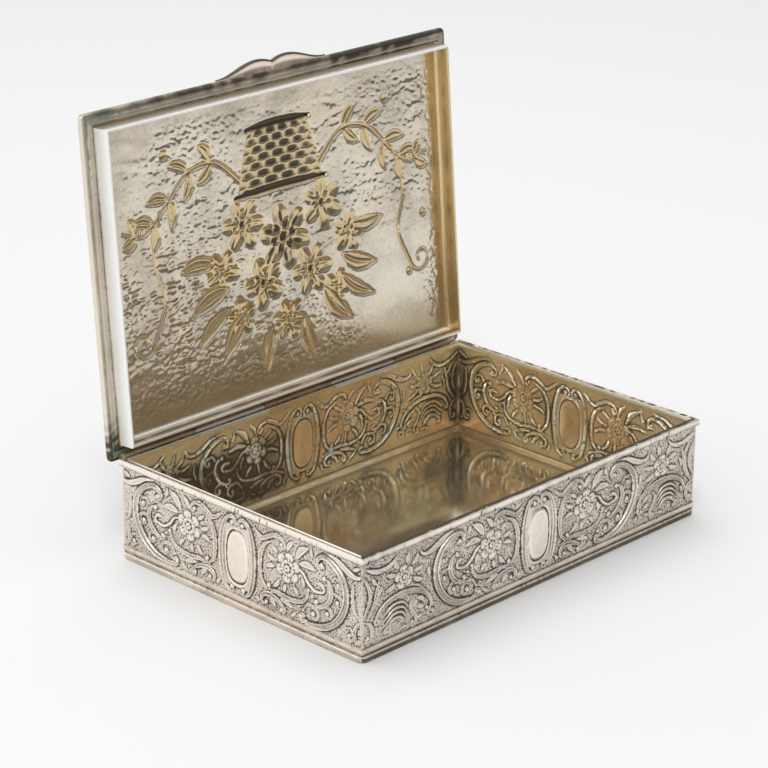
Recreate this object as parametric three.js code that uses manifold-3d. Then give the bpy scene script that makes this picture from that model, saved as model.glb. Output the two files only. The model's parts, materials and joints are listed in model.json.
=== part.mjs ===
// Embossed silver table box with a hinged lid, standing open. Millimetres, +Z up, front towards -Y.
// The origin is the centre of the base's underside. A strip that runs round the box is four mitred lengths.
import * as THREE from "three";
import { mergeVertices } from "three/addons/utils/BufferGeometryUtils.js";
import Module from "manifold-3d";

const wasm = await Module();
wasm.setup();

// Overall sizes
const boxLength = 140; // left to right over the rim
const boxDepth = 95.5; // front to back over the rim
const rimTop = 30; // the rim's top face above the table
const openAngle = 94.8; // the lid's swing from shut to its stop, in degrees

// Body: sheets and the strips soldered to them
const baseSheet = 1;
const wallSheet = 0.9;
const wallField = 0.35; // how far a wall is pressed out between the base moulding and the rim
const rimWidth = 1;
const rimHeight = 1.9;
const rimChamfer = 0.25;
const baseMouldingWidth = 1;
const baseMouldingHeight = 4;
const baseCornerRadius = 2;
const flangeHeight = 1.6;
const coveHeight = 0.8;
const coveDepth = 0.55;
const floorBeadSize = 1.8;
const cornerBeadSize = 1.2;

// Oval cartouche pressed out of the middle of each wall
const cartoucheTopMargin = 1.8; // from the frame to the rim
const cartoucheBottomMargin = 0.6; // from the frame to the base moulding
const cartoucheWidth = 14.4;
const cartoucheFrame = 1.9; // the frame's width
const cartoucheFrameRise = 0.7;
const cartoucheMoat = 1; // from the frame to the plain oval
const cartoucheOvalRise = 0.5;
const cartoucheSquareness = 2.6; // 2 is an ellipse, more is squarer

// Flowers and C scrolls embossed on both sides of each cartouche, from the wall's middle and the table.
// The end flowers and end scrolls are on the long walls only.
const flowerRise = 0.6;
const scrollRise = 0.5;
const wallFlower = { across: 19.5, height: 18.4, radius: 4.6, petals: 6, turn: 0.35 };
const endFlower = { across: 53.6, height: 20, radius: 3.6, petals: 5, turn: 0.2 };
const wallScroll = { across: 30.5, height: 15.8, radius: 10.3, width: 2, from: -100, to: 75 };
const endScroll = { across: 54.2, height: 1.7, radius: 13.7, width: 1.4, from: 42, to: 138 };
const petalDepth = 0.34; // how far the dips between petals go in, as a share of the flower's radius
const petalRoundness = 0.6; // the power of the cosine: less gives broader petals

// Lid
const lidSheet = 0.8;
const lidLip = 1.8; // how far the lip stands out past the rim
const lidMouldingWidth = 3.7;
const lidMouldingHeight = 3.4;
const lidEdgeRadius = 1.1; // the lip's half-round edge
const lidStep = 0.4; // the small step between the half-round and the cove
const lidTopFlat = 0.9;
const lidChannelDepth = 0.35; // the hollow under the lip
const lidChannelMargin = 0.4;
const lidCornerRadius = 1.5;
const bezelSheet = 0.8;
const bezelHeight = 5.2;

// Picture embossed in the lid: a basket of flowers, from the panel's middle, with +y towards the hinge
const pictureRise = 1.2; // the outside's height for a rise of 1
const pictureHollow = 0.85; // the inside's depth for a rise of 1
const pictureMargin = 0.8; // from a form's outline outside to its hollow inside
const pictureFlowers = [
  { x: 0, y: 0, radius: 10.5, petals: 6, turn: 0.3, rise: 1.4 },
  { x: -16, y: -7, radius: 8.5, petals: 6, turn: 0.1, rise: 1.15 },
  { x: 16, y: -7, radius: 8.5, petals: 6, turn: 0.5, rise: 1.15 },
  { x: -9, y: 12, radius: 8.2, petals: 5, turn: 0.6, rise: 1.15 },
  { x: 10, y: 12, radius: 8.4, petals: 6, turn: 0, rise: 1.15 },
  { x: -25, y: 5, radius: 7, petals: 5, turn: 0.3, rise: 0.95 },
  { x: 26, y: 4, radius: 7, petals: 5, turn: 1.2, rise: 0.95 },
  { x: -19, y: 20, radius: 6.2, petals: 5, turn: 0.9, rise: 0.9 },
  { x: 20, y: 20, radius: 6.2, petals: 5, turn: 0.1, rise: 0.9 },
  { x: 0, y: 25, radius: 6.8, petals: 6, turn: 0.2, rise: 0.95 },
];
const pictureLeaves = [0, 20, 33, 48, 75, 105, 132, 147, 160, 180]; // directions in degrees
const leafRoot = 24; // from the bouquet's middle
const leafLength = 16;
const leafWidth = 6;
const leafRise = 0.8;
const bouquetHeight = 2; // the bouquet's middle above the panel's
const basketFoot = -34;
const basketTop = -16;
const basketFootWidth = 23;
const basketTopWidth = 34;
const basketRise = 1;
const basketRodWidth = 2.5;
const basketRodOverhang = 1.2;
const basketRodRise = 1.4;

// Thumbpiece: two lobes with a notch between them and long tails
const thumbHalfWidth = 21.5;
const thumbLobeOffset = 5.7;
const thumbRise = 3.2; // a lobe's top above the tails
const thumbNotch = 1.2; // how far the notch dips below the lobes
const thumbEdge = 0.4; // the plate's height at the ends of its tails
const thumbThickness = 1.4;

// Hinge
const knuckleCount = 5;
const knuckleRadius = 1.3;
const knuckleBore = 0.72;
const knuckleSink = 0.4; // how far a knuckle is let into the rim
const hingeDrop = 0.3; // the pin's axis below the rim's top
const hingeInset = 1.5; // from the box's ends to the end knuckles
const pinRadius = 0.62;

// Clearances
const solderGap = 0.1;
const seatGap = 0.3; // between the rim and the shut lid
const bezelClearance = 0.45; // between the bezel and the inside of the walls
const knuckleGap = 0.3; // between neighbouring knuckles
const grooveClearance = 0.15; // between a knuckle and the groove that it lies in
const beadClearance = 0.5; // between a corner bead and the shut lid's bezel

// Facets
const roundSteps = 24;
const cornerSteps = 5;
const curveSteps = 4;
const ovalSteps = 40;
const lobeSteps = 8;
const petalSteps = 4;
const scrollSteps = 9;

// Offsets outward from the rim's outer face, shared by every piece that runs round the box
const wallOuter = -(rimWidth + solderGap);
const wallInner = wallOuter - wallSheet;
const wallFace = wallOuter + wallField;
const bezelOuter = wallInner - bezelClearance;
const bezelInner = bezelOuter - bezelSheet;
const lidMouldingInner = lidLip - lidMouldingWidth;
const hingeOut = knuckleRadius - knuckleSink;

// Heights above the table, with the lid shut
const floorTop = baseSheet + solderGap;
const lidSeat = rimTop + seatGap;
const bezelFoot = lidSeat - bezelHeight;
const hingeHeight = rimTop - hingeDrop;

const silver = new THREE.MeshStandardMaterial({ color: 0xb9b1a6, roughness: 0.38, metalness: 1 });
const paleSilver = new THREE.MeshStandardMaterial({ color: 0xc9c3b4, roughness: 0.3, metalness: 1 });
const gilt = new THREE.MeshStandardMaterial({ color: 0x9a7b4a, roughness: 0.28, metalness: 1 });

const sides = [
  { name: "front", turn: 0, length: boxLength, reach: boxDepth / 2 },
  { name: "right", turn: Math.PI / 2, length: boxDepth, reach: boxLength / 2 },
  { name: "back", turn: Math.PI, length: boxLength, reach: boxDepth / 2 },
  { name: "left", turn: -Math.PI / 2, length: boxDepth, reach: boxLength / 2 },
];

// Geometry to a solid and back, for the pieces that are cut or joined
function solidFrom(geometry) {
  const plain = geometry.clone();
  plain.deleteAttribute("normal");
  plain.deleteAttribute("uv");
  const merged = mergeVertices(plain, 1e-4);
  return new wasm.Manifold(
    new wasm.Mesh({
      numProp: 3,
      vertProperties: merged.getAttribute("position").array,
      triVerts: new Uint32Array(merged.index.array),
    }),
  );
}

function geometryFrom(solid) {
  const mesh = solid.getMesh();
  const geometry = new THREE.BufferGeometry();
  geometry.setAttribute("position", new THREE.BufferAttribute(mesh.vertProperties, 3));
  geometry.setIndex(new THREE.BufferAttribute(mesh.triVerts, 1));
  geometry.computeVertexNormals();
  return geometry;
}

function addMesh(group, name, geometry, material) {
  const mesh = new THREE.Mesh(geometry, material);
  mesh.name = name;
  group.add(mesh);
  return mesh;
}

// A piece is drawn for the front, with the rim's outer face at y = 0, and goes to its own side of the box.
function addToSide(group, side, name, geometry, material) {
  const mesh = addMesh(group, name, geometry, material);
  mesh.rotation.z = side.turn;
  mesh.position.set(Math.sin(side.turn) * side.reach, -Math.cos(side.turn) * side.reach, 0);
}

// A length of strip along one side. The section's x is the offset outward from the rim and its y the height,
// and both ends are cut at 45 degrees through the box's corners.
function mitredStrip(section, side) {
  const settings = { depth: 1, bevelEnabled: false, curveSegments: curveSteps };
  const strip = new THREE.ExtrudeGeometry(section, settings);
  const position = strip.getAttribute("position");
  for (let i = 0; i < position.count; i++) {
    const offset = position.getX(i);
    const end = position.getZ(i) > 0.5 ? -1 : 1;
    position.setXYZ(i, end * (side.length / 2 + offset - solderGap / 2), -offset, position.getY(i));
  }
  strip.computeVertexNormals();
  return strip;
}

// The box's plan with round corners, in a side's own frame, which trims the corners of the side's strip
function roundCorners(strip, side, outer, radius, low, high) {
  const x = side.length / 2 + outer - radius;
  const y = side.reach + outer - radius;
  const plan = new THREE.Shape();
  plan.absarc(x, y, radius, 0, Math.PI / 2);
  plan.absarc(-x, y, radius, Math.PI / 2, Math.PI);
  plan.absarc(-x, -y, radius, Math.PI, 1.5 * Math.PI);
  plan.absarc(x, -y, radius, 1.5 * Math.PI, 2 * Math.PI);
  const settings = { depth: high - low, bevelEnabled: false, curveSegments: cornerSteps };
  const block = new THREE.ExtrudeGeometry(plan, settings).translate(0, side.reach, low);
  return solidFrom(strip).intersect(solidFrom(block));
}

function rectangle(left, foot, right, top) {
  const shape = new THREE.Shape();
  shape.moveTo(left, foot);
  shape.lineTo(right, foot);
  shape.lineTo(right, top);
  shape.lineTo(left, top);
  return shape;
}

// The groove that the knuckles lie in, a round bar on the hinge axis in the back's own frame
function hingeGroove() {
  const radius = knuckleRadius + grooveClearance;
  const length = boxLength - 2 * hingeInset + 2 * knuckleGap;
  const bar = new THREE.CylinderGeometry(radius, radius, length, roundSteps).rotateZ(Math.PI / 2);
  return solidFrom(bar.translate(0, -hingeOut, hingeHeight));
}

const body = new THREE.Group();

// Base: a flat sheet that the walls stand on, with a moulding soldered round its edge
const baseLength = boxLength + 2 * wallOuter;
const baseDepth = boxDepth + 2 * wallOuter;
const basePlate = new THREE.BoxGeometry(baseLength, baseDepth, baseSheet).translate(0, 0, baseSheet / 2);
addMesh(body, "base_plate", basePlate, gilt);

const baseMouldingInner = wallOuter + solderGap;
const baseMouldingOuter = baseMouldingInner + baseMouldingWidth;

// From the table up: a plain flange, a cove and a bead that dies into the wall
function baseMouldingSection() {
  const neck = baseMouldingOuter - coveDepth;
  const crest = baseMouldingOuter - coveDepth / 4;
  const coveTop = flangeHeight + coveHeight;
  const section = new THREE.Shape();
  section.moveTo(baseMouldingInner, 0);
  section.lineTo(baseMouldingOuter, 0);
  section.lineTo(baseMouldingOuter, flangeHeight);
  section.quadraticCurveTo(neck, flangeHeight, neck, coveTop);
  section.quadraticCurveTo(crest, coveTop, crest, (coveTop + baseMouldingHeight) / 2);
  section.quadraticCurveTo(crest, baseMouldingHeight, baseMouldingInner, baseMouldingHeight);
  return section;
}

for (const side of sides) {
  const strip = mitredStrip(baseMouldingSection(), side);
  const rounded = roundCorners(strip, side, baseMouldingOuter, baseCornerRadius, 0, baseMouldingHeight);
  addToSide(body, side, `base_moulding_${side.name}`, geometryFrom(rounded), silver);
}

// Walls: mitred sheets, each with a pressed field that carries a framed oval cartouche in its middle
const cartoucheTop = rimTop - rimHeight - cartoucheTopMargin;
const cartoucheFoot = baseMouldingHeight + cartoucheBottomMargin;

// A squarish oval, set in from the cartouche's outer edge
function ovalPoints(inset) {
  const width = cartoucheWidth / 2 - inset;
  const height = (cartoucheTop - cartoucheFoot) / 2 - inset;
  const squared = (value) => Math.sign(value) * Math.abs(value) ** (2 / cartoucheSquareness);
  return Array.from({ length: ovalSteps }, (_, step) => {
    const angle = (2 * Math.PI * step) / ovalSteps;
    return new THREE.Vector2(width * squared(Math.cos(angle)), height * squared(Math.sin(angle)));
  });
}

// A wall's section: the sheet from the floor to the rim's top, thicker in the field
function wallSection() {
  const fieldFoot = baseMouldingHeight + solderGap;
  const fieldTop = rimTop - rimHeight - solderGap;
  const section = new THREE.Shape();
  section.moveTo(wallInner, floorTop);
  section.lineTo(wallOuter, floorTop);
  section.lineTo(wallOuter, fieldFoot);
  section.lineTo(wallFace, fieldFoot);
  section.lineTo(wallFace, fieldTop);
  section.lineTo(wallOuter, fieldTop);
  section.lineTo(wallOuter, rimTop);
  section.lineTo(wallInner, rimTop);
  return section;
}

// A plate that stands out of the wall's face and is rooted half a sheet deep
function pressedOut(shape, rise, across, height) {
  const settings = { depth: wallSheet / 2 + rise, bevelEnabled: false, curveSegments: scrollSteps };
  const plate = new THREE.ExtrudeGeometry(shape, settings).rotateX(Math.PI / 2);
  return solidFrom(plate.translate(across, wallSheet / 2 - wallFace, height));
}

// A flower's outline: the radius dips between the petals as a rectified cosine of the angle
function flowerShape(radius, petals, turn) {
  const steps = petals * petalSteps;
  const points = Array.from({ length: steps }, (_, step) => {
    const angle = (2 * Math.PI * step) / steps;
    const lobe = Math.abs(Math.cos((petals * angle) / 2)) ** petalRoundness;
    const reach = radius * (1 - petalDepth * (1 - lobe));
    return new THREE.Vector2(reach * Math.cos(angle + turn), reach * Math.sin(angle + turn));
  });
  return new THREE.Shape(points);
}

// A C scroll: a band bent along an arc. The left one of a pair is the mirror image of the right one.
function scrollShape({ radius, width, from, to }, hand) {
  const [first, last] = (hand > 0 ? [from, to] : [180 - to, 180 - from]).map(THREE.MathUtils.degToRad);
  const band = new THREE.Shape();
  band.absarc(0, 0, radius + width / 2, first, last, false);
  band.absarc(0, 0, radius - width / 2, last, first, true);
  return band;
}

const cartoucheRing = new THREE.Shape(ovalPoints(0));
cartoucheRing.holes.push(new THREE.Path(ovalPoints(cartoucheFrame)));
const cartoucheOval = new THREE.Shape(ovalPoints(cartoucheFrame + cartoucheMoat));
const cartoucheMiddle = (cartoucheTop + cartoucheFoot) / 2;

for (const side of sides) {
  const isLong = side.length === boxLength;
  const flowers = isLong ? [wallFlower, endFlower] : [wallFlower];
  const scrolls = isLong ? [wallScroll, endScroll] : [wallScroll];
  const sheet = mitredStrip(wallSection(), side);
  let wall = solidFrom(sheet)
    .add(pressedOut(cartoucheRing, cartoucheFrameRise, 0, cartoucheMiddle))
    .add(pressedOut(cartoucheOval, cartoucheOvalRise, 0, cartoucheMiddle));
  for (const hand of [-1, 1]) {
    for (const { across, height, radius, petals, turn } of flowers) {
      wall = wall.add(pressedOut(flowerShape(radius, petals, turn), flowerRise, hand * across, height));
    }
    for (const scroll of scrolls) {
      wall = wall.add(pressedOut(scrollShape(scroll, hand), scrollRise, hand * scroll.across, scroll.height));
    }
  }
  addToSide(body, side, `${side.name}_wall`, geometryFrom(wall), silver);
}

// Rim: a square strip round the top of the walls, grooved at the back for the hinge
function rimSection() {
  const rimFoot = rimTop - rimHeight;
  const section = new THREE.Shape();
  section.moveTo(-rimWidth, rimFoot);
  section.lineTo(-rimChamfer, rimFoot);
  section.lineTo(0, rimFoot + rimChamfer);
  section.lineTo(0, rimTop - rimChamfer);
  section.lineTo(-rimChamfer, rimTop);
  section.lineTo(-rimWidth, rimTop);
  return section;
}

for (const side of sides) {
  const strip = solidFrom(mitredStrip(rimSection(), side));
  const rim = side.name === "back" ? strip.subtract(hingeGroove()) : strip;
  addToSide(body, side, `rim_${side.name}`, geometryFrom(rim), silver);
}

// Beads: hollow fillets along the floor's edges and up the inner corners
function hollowFillet(x, y, size) {
  const section = new THREE.Shape();
  section.moveTo(x, y);
  section.lineTo(x, y + size);
  section.quadraticCurveTo(x - size / 4, y + size / 4, x - size, y);
  return section;
}

for (const side of sides) {
  const section = hollowFillet(wallInner - solderGap, floorTop, floorBeadSize);
  addToSide(body, side, `floor_bead_${side.name}`, mitredStrip(section, side), gilt);
}

const cornerBeadFoot = floorTop + floorBeadSize + solderGap;
const cornerBeadHeight = bezelFoot - beadClearance - cornerBeadFoot;
const cornerX = boxLength / 2 + wallInner - solderGap;
const cornerY = boxDepth / 2 + wallInner - solderGap;
const corners = [
  { name: "front_right", x: cornerX, y: -cornerY },
  { name: "back_right", x: cornerX, y: cornerY },
  { name: "back_left", x: -cornerX, y: cornerY },
  { name: "front_left", x: -cornerX, y: -cornerY },
];
corners.forEach((corner, quarterTurns) => {
  const settings = { depth: cornerBeadHeight, bevelEnabled: false, curveSegments: curveSteps };
  const bead = new THREE.ExtrudeGeometry(hollowFillet(0, 0, cornerBeadSize), settings);
  const mesh = addMesh(body, `corner_bead_${corner.name}`, bead, gilt);
  mesh.position.set(corner.x, corner.y, cornerBeadFoot);
  mesh.rotation.z = (quarterTurns * Math.PI) / 2;
});

// Lid: drawn shut, inside a group that swings it open about the hinge pin
const hingeY = boxDepth / 2 + hingeOut;
const swing = new THREE.Group();
swing.position.set(0, hingeY, hingeHeight);
swing.rotation.x = -THREE.MathUtils.degToRad(openAngle);
const lid = new THREE.Group();
lid.position.set(0, -hingeY, -hingeHeight);
swing.add(lid);

const panelInset = lidMouldingInner - solderGap;
const panelLength = boxLength + 2 * panelInset;
const panelDepth = boxDepth + 2 * panelInset;

// A pointed leaf that grows out of the bouquet in one direction, set in from its outline by a margin
function leafShape(direction, margin) {
  const root = new THREE.Vector2(leafRoot + 2 * margin, 0);
  const tip = new THREE.Vector2(leafRoot + leafLength - 2 * margin, 0);
  const bulge = new THREE.Vector2(leafRoot + leafLength / 2, leafWidth - 2 * margin);
  const turned = (point, hand) => {
    const spot = new THREE.Vector2(point.x, hand * point.y);
    return spot.rotateAround(new THREE.Vector2(), THREE.MathUtils.degToRad(direction));
  };
  const leaf = new THREE.Shape().moveTo(...turned(root, 1));
  leaf.quadraticCurveTo(...turned(bulge, -1), ...turned(tip, 1));
  leaf.quadraticCurveTo(...turned(bulge, 1), ...turned(root, 1));
  return leaf;
}

function basketShape(margin) {
  return new THREE.Shape([
    new THREE.Vector2(-basketFootWidth / 2 + margin, basketFoot + margin),
    new THREE.Vector2(basketFootWidth / 2 - margin, basketFoot + margin),
    new THREE.Vector2(basketTopWidth / 2 - margin, basketTop - margin),
    new THREE.Vector2(-basketTopWidth / 2 + margin, basketTop - margin),
  ]);
}

// A rod of the basket: a bar that overhangs its edge
function rodShape(height, width, margin) {
  const halfLength = width / 2 + basketRodOverhang - margin;
  const halfWidth = basketRodWidth / 2 - margin;
  return rectangle(-halfLength, height - halfWidth, halfLength, height + halfWidth);
}

// The picture's forms: each is drawn set in by a margin, and stands at its own place and rise
const pictureForms = [
  ...pictureFlowers.map(({ x, y, radius, petals, turn, rise }) => ({
    draw: (margin) => flowerShape(radius - margin, petals, turn),
    x,
    y,
    rise,
  })),
  ...pictureLeaves.map((direction) => ({
    draw: (margin) => leafShape(direction, margin),
    x: 0,
    y: bouquetHeight,
    rise: leafRise,
  })),
  { draw: basketShape, x: 0, y: 0, rise: basketRise },
  { draw: (margin) => rodShape(basketFoot, basketFootWidth, margin), x: 0, y: 0, rise: basketRodRise },
  { draw: (margin) => rodShape(basketTop, basketTopWidth, margin), x: 0, y: 0, rise: basketRodRise },
];

function pictureSolid(shape, x, y, foot, top) {
  const settings = { depth: top - foot, bevelEnabled: false, curveSegments: curveSteps };
  return solidFrom(new THREE.ExtrudeGeometry(shape, settings).translate(x, y, foot));
}

// Panel: a flat sheet, raised outside and hollowed inside over each form
const sheetTop = lidSeat + lidSheet;
const flatPanel = new THREE.BoxGeometry(panelLength, panelDepth, lidSheet);
let panel = solidFrom(flatPanel.translate(0, 0, lidSeat + lidSheet / 2));
for (const { draw, x, y, rise } of pictureForms) {
  panel = panel.add(pictureSolid(draw(0), x, y, lidSeat + lidSheet / 2, sheetTop + pictureRise * rise));
}
for (const { draw, x, y, rise } of pictureForms) {
  const hollowTop = lidSeat + pictureHollow * rise;
  panel = panel.subtract(pictureSolid(draw(pictureMargin), x, y, lidSeat - lidSheet, hollowTop));
}
addMesh(lid, "lid_panel", geometryFrom(panel), paleSilver);

// From the inside out: a hollow underside, a half-round edge, a small step and a cove up to a flat top
function lidMouldingSection() {
  const edge = lidLip - lidEdgeRadius;
  const stepTop = lidSeat + 2 * lidEdgeRadius + lidStep;
  const coveEnd = lidMouldingInner + lidTopFlat;
  const channelStart = lidMouldingInner + lidChannelMargin;
  const section = new THREE.Shape();
  section.moveTo(lidMouldingInner, lidSeat);
  section.lineTo(channelStart, lidSeat);
  section.quadraticCurveTo((channelStart + edge) / 2, lidSeat + 2 * lidChannelDepth, edge, lidSeat);
  section.absarc(edge, lidSeat + lidEdgeRadius, lidEdgeRadius, -Math.PI / 2, Math.PI / 2);
  section.lineTo(edge, stepTop);
  section.quadraticCurveTo(coveEnd, stepTop, coveEnd, lidSeat + lidMouldingHeight);
  section.lineTo(lidMouldingInner, lidSeat + lidMouldingHeight);
  return section;
}

for (const side of sides) {
  const strip = mitredStrip(lidMouldingSection(), side);
  const rounded = roundCorners(strip, side, lidLip, lidCornerRadius, lidSeat, lidSeat + lidMouldingHeight);
  const moulding = side.name === "back" ? rounded.subtract(hingeGroove()) : rounded;
  addToSide(lid, side, `lid_moulding_${side.name}`, geometryFrom(moulding), paleSilver);
}

// Bezel: the upright strip under the lid that slips inside the walls
for (const side of sides) {
  const section = rectangle(bezelInner, bezelFoot, bezelOuter, lidSeat - solderGap);
  addToSide(lid, side, `lid_bezel_${side.name}`, mitredStrip(section, side), paleSilver);
}

// Thumbpiece: each tail is half a wave of a cosine, and each lobe falls to the notch as a parabola
function thumbHeight(x) {
  const across = Math.abs(x);
  if (across < thumbLobeOffset) {
    return thumbEdge + thumbRise - thumbNotch * (1 - across / thumbLobeOffset) ** 2;
  }
  const along = (across - thumbLobeOffset) / (thumbHalfWidth - thumbLobeOffset);
  return thumbEdge + (thumbRise * (1 + Math.cos(Math.PI * along))) / 2;
}

function thumbOutline() {
  const stops = [-thumbHalfWidth, -thumbLobeOffset, 0, thumbLobeOffset, thumbHalfWidth];
  const outline = new THREE.Shape();
  outline.moveTo(-thumbHalfWidth, 0);
  outline.lineTo(-thumbHalfWidth, -thumbHeight(-thumbHalfWidth));
  for (let span = 1; span < stops.length; span++) {
    for (let step = 1; step <= lobeSteps; step++) {
      const x = THREE.MathUtils.lerp(stops[span - 1], stops[span], step / lobeSteps);
      outline.lineTo(x, -thumbHeight(x));
    }
  }
  outline.lineTo(thumbHalfWidth, 0);
  return outline;
}

const thumbSettings = { depth: thumbThickness, bevelEnabled: false };
const thumbFoot = lidSeat + lidEdgeRadius - thumbThickness / 2;
const thumbpiece = new THREE.ExtrudeGeometry(thumbOutline(), thumbSettings);
addToSide(lid, sides[0], "thumbpiece", thumbpiece.translate(0, -lidLip - solderGap, thumbFoot), paleSilver);

// Hinge: five tubes on one pin, the second and fourth on the body and the others on the lid
const hingeLength = boxLength - 2 * hingeInset;
const knucklePitch = hingeLength / knuckleCount;
const knuckleLength = knucklePitch - knuckleGap;

function knuckleTube() {
  const profile = [
    new THREE.Vector2(knuckleBore, -knuckleLength / 2),
    new THREE.Vector2(knuckleRadius, -knuckleLength / 2),
    new THREE.Vector2(knuckleRadius, knuckleLength / 2),
    new THREE.Vector2(knuckleBore, knuckleLength / 2),
    new THREE.Vector2(knuckleBore, -knuckleLength / 2),
  ];
  return new THREE.LatheGeometry(profile, roundSteps).rotateZ(Math.PI / 2);
}

for (let knuckle = 0; knuckle < knuckleCount; knuckle++) {
  const onBody = knuckle % 2 === 1;
  const name = `hinge_knuckle_${knuckle + 1}`;
  const tube = addMesh(onBody ? body : lid, name, knuckleTube(), onBody ? silver : paleSilver);
  tube.position.set((knuckle - (knuckleCount - 1) / 2) * knucklePitch, hingeY, hingeHeight);
}

const pinLength = hingeLength - knuckleGap;
const pin = new THREE.CylinderGeometry(pinRadius, pinRadius, pinLength, roundSteps).rotateZ(Math.PI / 2);
addMesh(lid, "hinge_pin", pin.translate(0, hingeY, hingeHeight), silver);

const box = new THREE.Group();
box.add(body, swing);
export default box;
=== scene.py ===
import json

import bpy
import numpy as np
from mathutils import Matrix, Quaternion, Vector


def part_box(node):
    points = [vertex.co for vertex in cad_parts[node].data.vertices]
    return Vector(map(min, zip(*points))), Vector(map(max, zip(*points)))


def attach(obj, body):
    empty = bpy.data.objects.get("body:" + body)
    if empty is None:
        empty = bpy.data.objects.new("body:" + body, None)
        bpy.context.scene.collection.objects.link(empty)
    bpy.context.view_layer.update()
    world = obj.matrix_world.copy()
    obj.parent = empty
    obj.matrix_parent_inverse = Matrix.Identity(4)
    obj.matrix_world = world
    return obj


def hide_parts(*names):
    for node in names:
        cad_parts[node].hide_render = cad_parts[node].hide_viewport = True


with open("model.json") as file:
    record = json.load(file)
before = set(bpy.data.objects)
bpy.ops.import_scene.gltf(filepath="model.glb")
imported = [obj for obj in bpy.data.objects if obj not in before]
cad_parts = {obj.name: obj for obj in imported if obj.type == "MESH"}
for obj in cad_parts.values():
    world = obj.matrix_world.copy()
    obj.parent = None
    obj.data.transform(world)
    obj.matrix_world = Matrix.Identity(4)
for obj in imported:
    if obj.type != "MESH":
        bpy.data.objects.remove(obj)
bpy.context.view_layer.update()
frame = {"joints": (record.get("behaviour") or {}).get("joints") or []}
scene = bpy.context.scene
scene.view_settings.view_transform = "Standard"

# The view: a long lens from the front left, a little above the box, with a slight tilt of the camera.
MM = 0.001
camera_place = Vector((-534.5, -502.5, 328.2)) * MM
camera_azimuth = np.radians(-46.06)
camera_elevation = np.radians(21.0)
camera_roll = np.radians(0.53)
photo_width = 768
focal_pixels = 2778

lens = bpy.data.cameras.new("camera")
lens.sensor_width = 36
lens.lens = lens.sensor_width * focal_pixels / photo_width
camera = bpy.data.objects.new("camera", lens)
scene.collection.objects.link(camera)
scene.camera = camera
towards = Vector((
    -np.sin(camera_azimuth) * np.cos(camera_elevation),
    np.cos(camera_azimuth) * np.cos(camera_elevation),
    -np.sin(camera_elevation),
))
camera.location = camera_place
camera.rotation_mode = "QUATERNION"
camera.rotation_quaternion = towards.to_track_quat("-Z", "Y") @ Quaternion((0, 0, 1), camera_roll)


# Table and light: a wide white sheet, a soft lamp overhead and a small one at the front left, in a room
# that is brightest behind on the left.
class Socket:
    """An output of a shader tree. Arithmetic on it adds Math nodes, and node() adds any other node."""

    def __init__(self, tree, link=None):
        self.tree = tree
        self.link = link

    def node(self, kind, settings, inputs, output=0):
        """A new node with its settings made first, then a value or another socket for each input."""
        made = self.tree.nodes.new(kind)
        for name, value in settings.items():
            setattr(made, name, value)
        for name, value in inputs.items():
            if isinstance(value, Socket):
                self.tree.links.new(value.link, made.inputs[name])
            else:
                made.inputs[name].default_value = value
        return Socket(self.tree, made.outputs[output])

    def maths(self, operation, *values):
        """A new Math node on sockets or numbers."""
        return self.node("ShaderNodeMath", {"operation": operation}, dict(enumerate(values)))

    def __add__(self, other):
        return self.maths("ADD", self, other)

    def __sub__(self, other):
        return self.maths("SUBTRACT", self, other)

    def __rsub__(self, other):
        return self.maths("SUBTRACT", other, self)

    def __mul__(self, other):
        return self.maths("MULTIPLY", self, other)

    __radd__ = __add__
    __rmul__ = __mul__

    def eased(self, low, high):
        """Zero below low and one above high, with an eased rise between them."""
        span = {"Value": self, "From Min": low, "From Max": high}
        return self.node("ShaderNodeMapRange", {"interpolation_type": "SMOOTHSTEP"}, span)

    def blend(self, first, second):
        """The first colour where this is zero and the second where it is one."""
        return self.node("ShaderNodeMix", {"data_type": "RGBA"}, {0: self, 6: first, 7: second}, 2)


def colour(red, green, blue):
    return (red, green, blue, 1)


def shader_of(name):
    """A new material with its shader node and a bare socket to start expressions from."""
    material = bpy.data.materials.new(name)
    material.use_nodes = True
    tree = material.node_tree
    return material, tree.nodes["Principled BSDF"], Socket(tree)


def feed(shader, start, inputs):
    """Sets or links the inputs of a material's shader."""
    for name, value in inputs.items():
        if isinstance(value, Socket):
            start.tree.links.new(value.link, shader.inputs[name])
        else:
            shader.inputs[name].default_value = value


floor_reach = 4000
floor_mesh = bpy.data.meshes.new("table")
corner = floor_reach * MM
floor_mesh.from_pydata(
    [(-corner, -corner, 0), (corner, -corner, 0), (corner, corner, 0), (-corner, corner, 0)],
    [],
    [(0, 1, 2, 3)],
)
table = bpy.data.objects.new("table", floor_mesh)
scene.collection.objects.link(table)
paper, paper_shader, paper_start = shader_of("white_paper")
feed(paper_shader, paper_start, {"Base Color": colour(0.84, 0.84, 0.84), "Roughness": 0.9})
floor_mesh.materials.append(paper)

room = bpy.data.worlds.new("room")
room.use_nodes = True
scene.world = room
room_start = Socket(room.node_tree)
facing = room_start.node("ShaderNodeTexCoord", {}, {}, "Generated")
bright_side = (-0.45, 0.45, 0.77)
dim_light = colour(0.1, 0.1, 0.1)
full_light = colour(0.95, 0.95, 0.95)
towards_light = room_start.node(
    "ShaderNodeVectorMath", {"operation": "DOT_PRODUCT"}, {0: facing, 1: bright_side}, "Value"
)
room_light = towards_light.eased(-0.7, 0.8).blend(dim_light, full_light)
backdrop = room.node_tree.nodes["Background"]
room.node_tree.links.new(room_light.link, backdrop.inputs["Color"])
backdrop.inputs["Strength"].default_value = 1.0


def lamp(name, place, size, watts):
    """A square soft lamp that points at the middle of the box."""
    data = bpy.data.lights.new(name, "AREA")
    data.size = size * MM
    data.energy = watts
    made = bpy.data.objects.new(name, data)
    scene.collection.objects.link(made)
    made.location = Vector(place) * MM
    made.rotation_mode = "QUATERNION"
    made.rotation_quaternion = (-made.location).to_track_quat("-Z", "Y")


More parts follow.
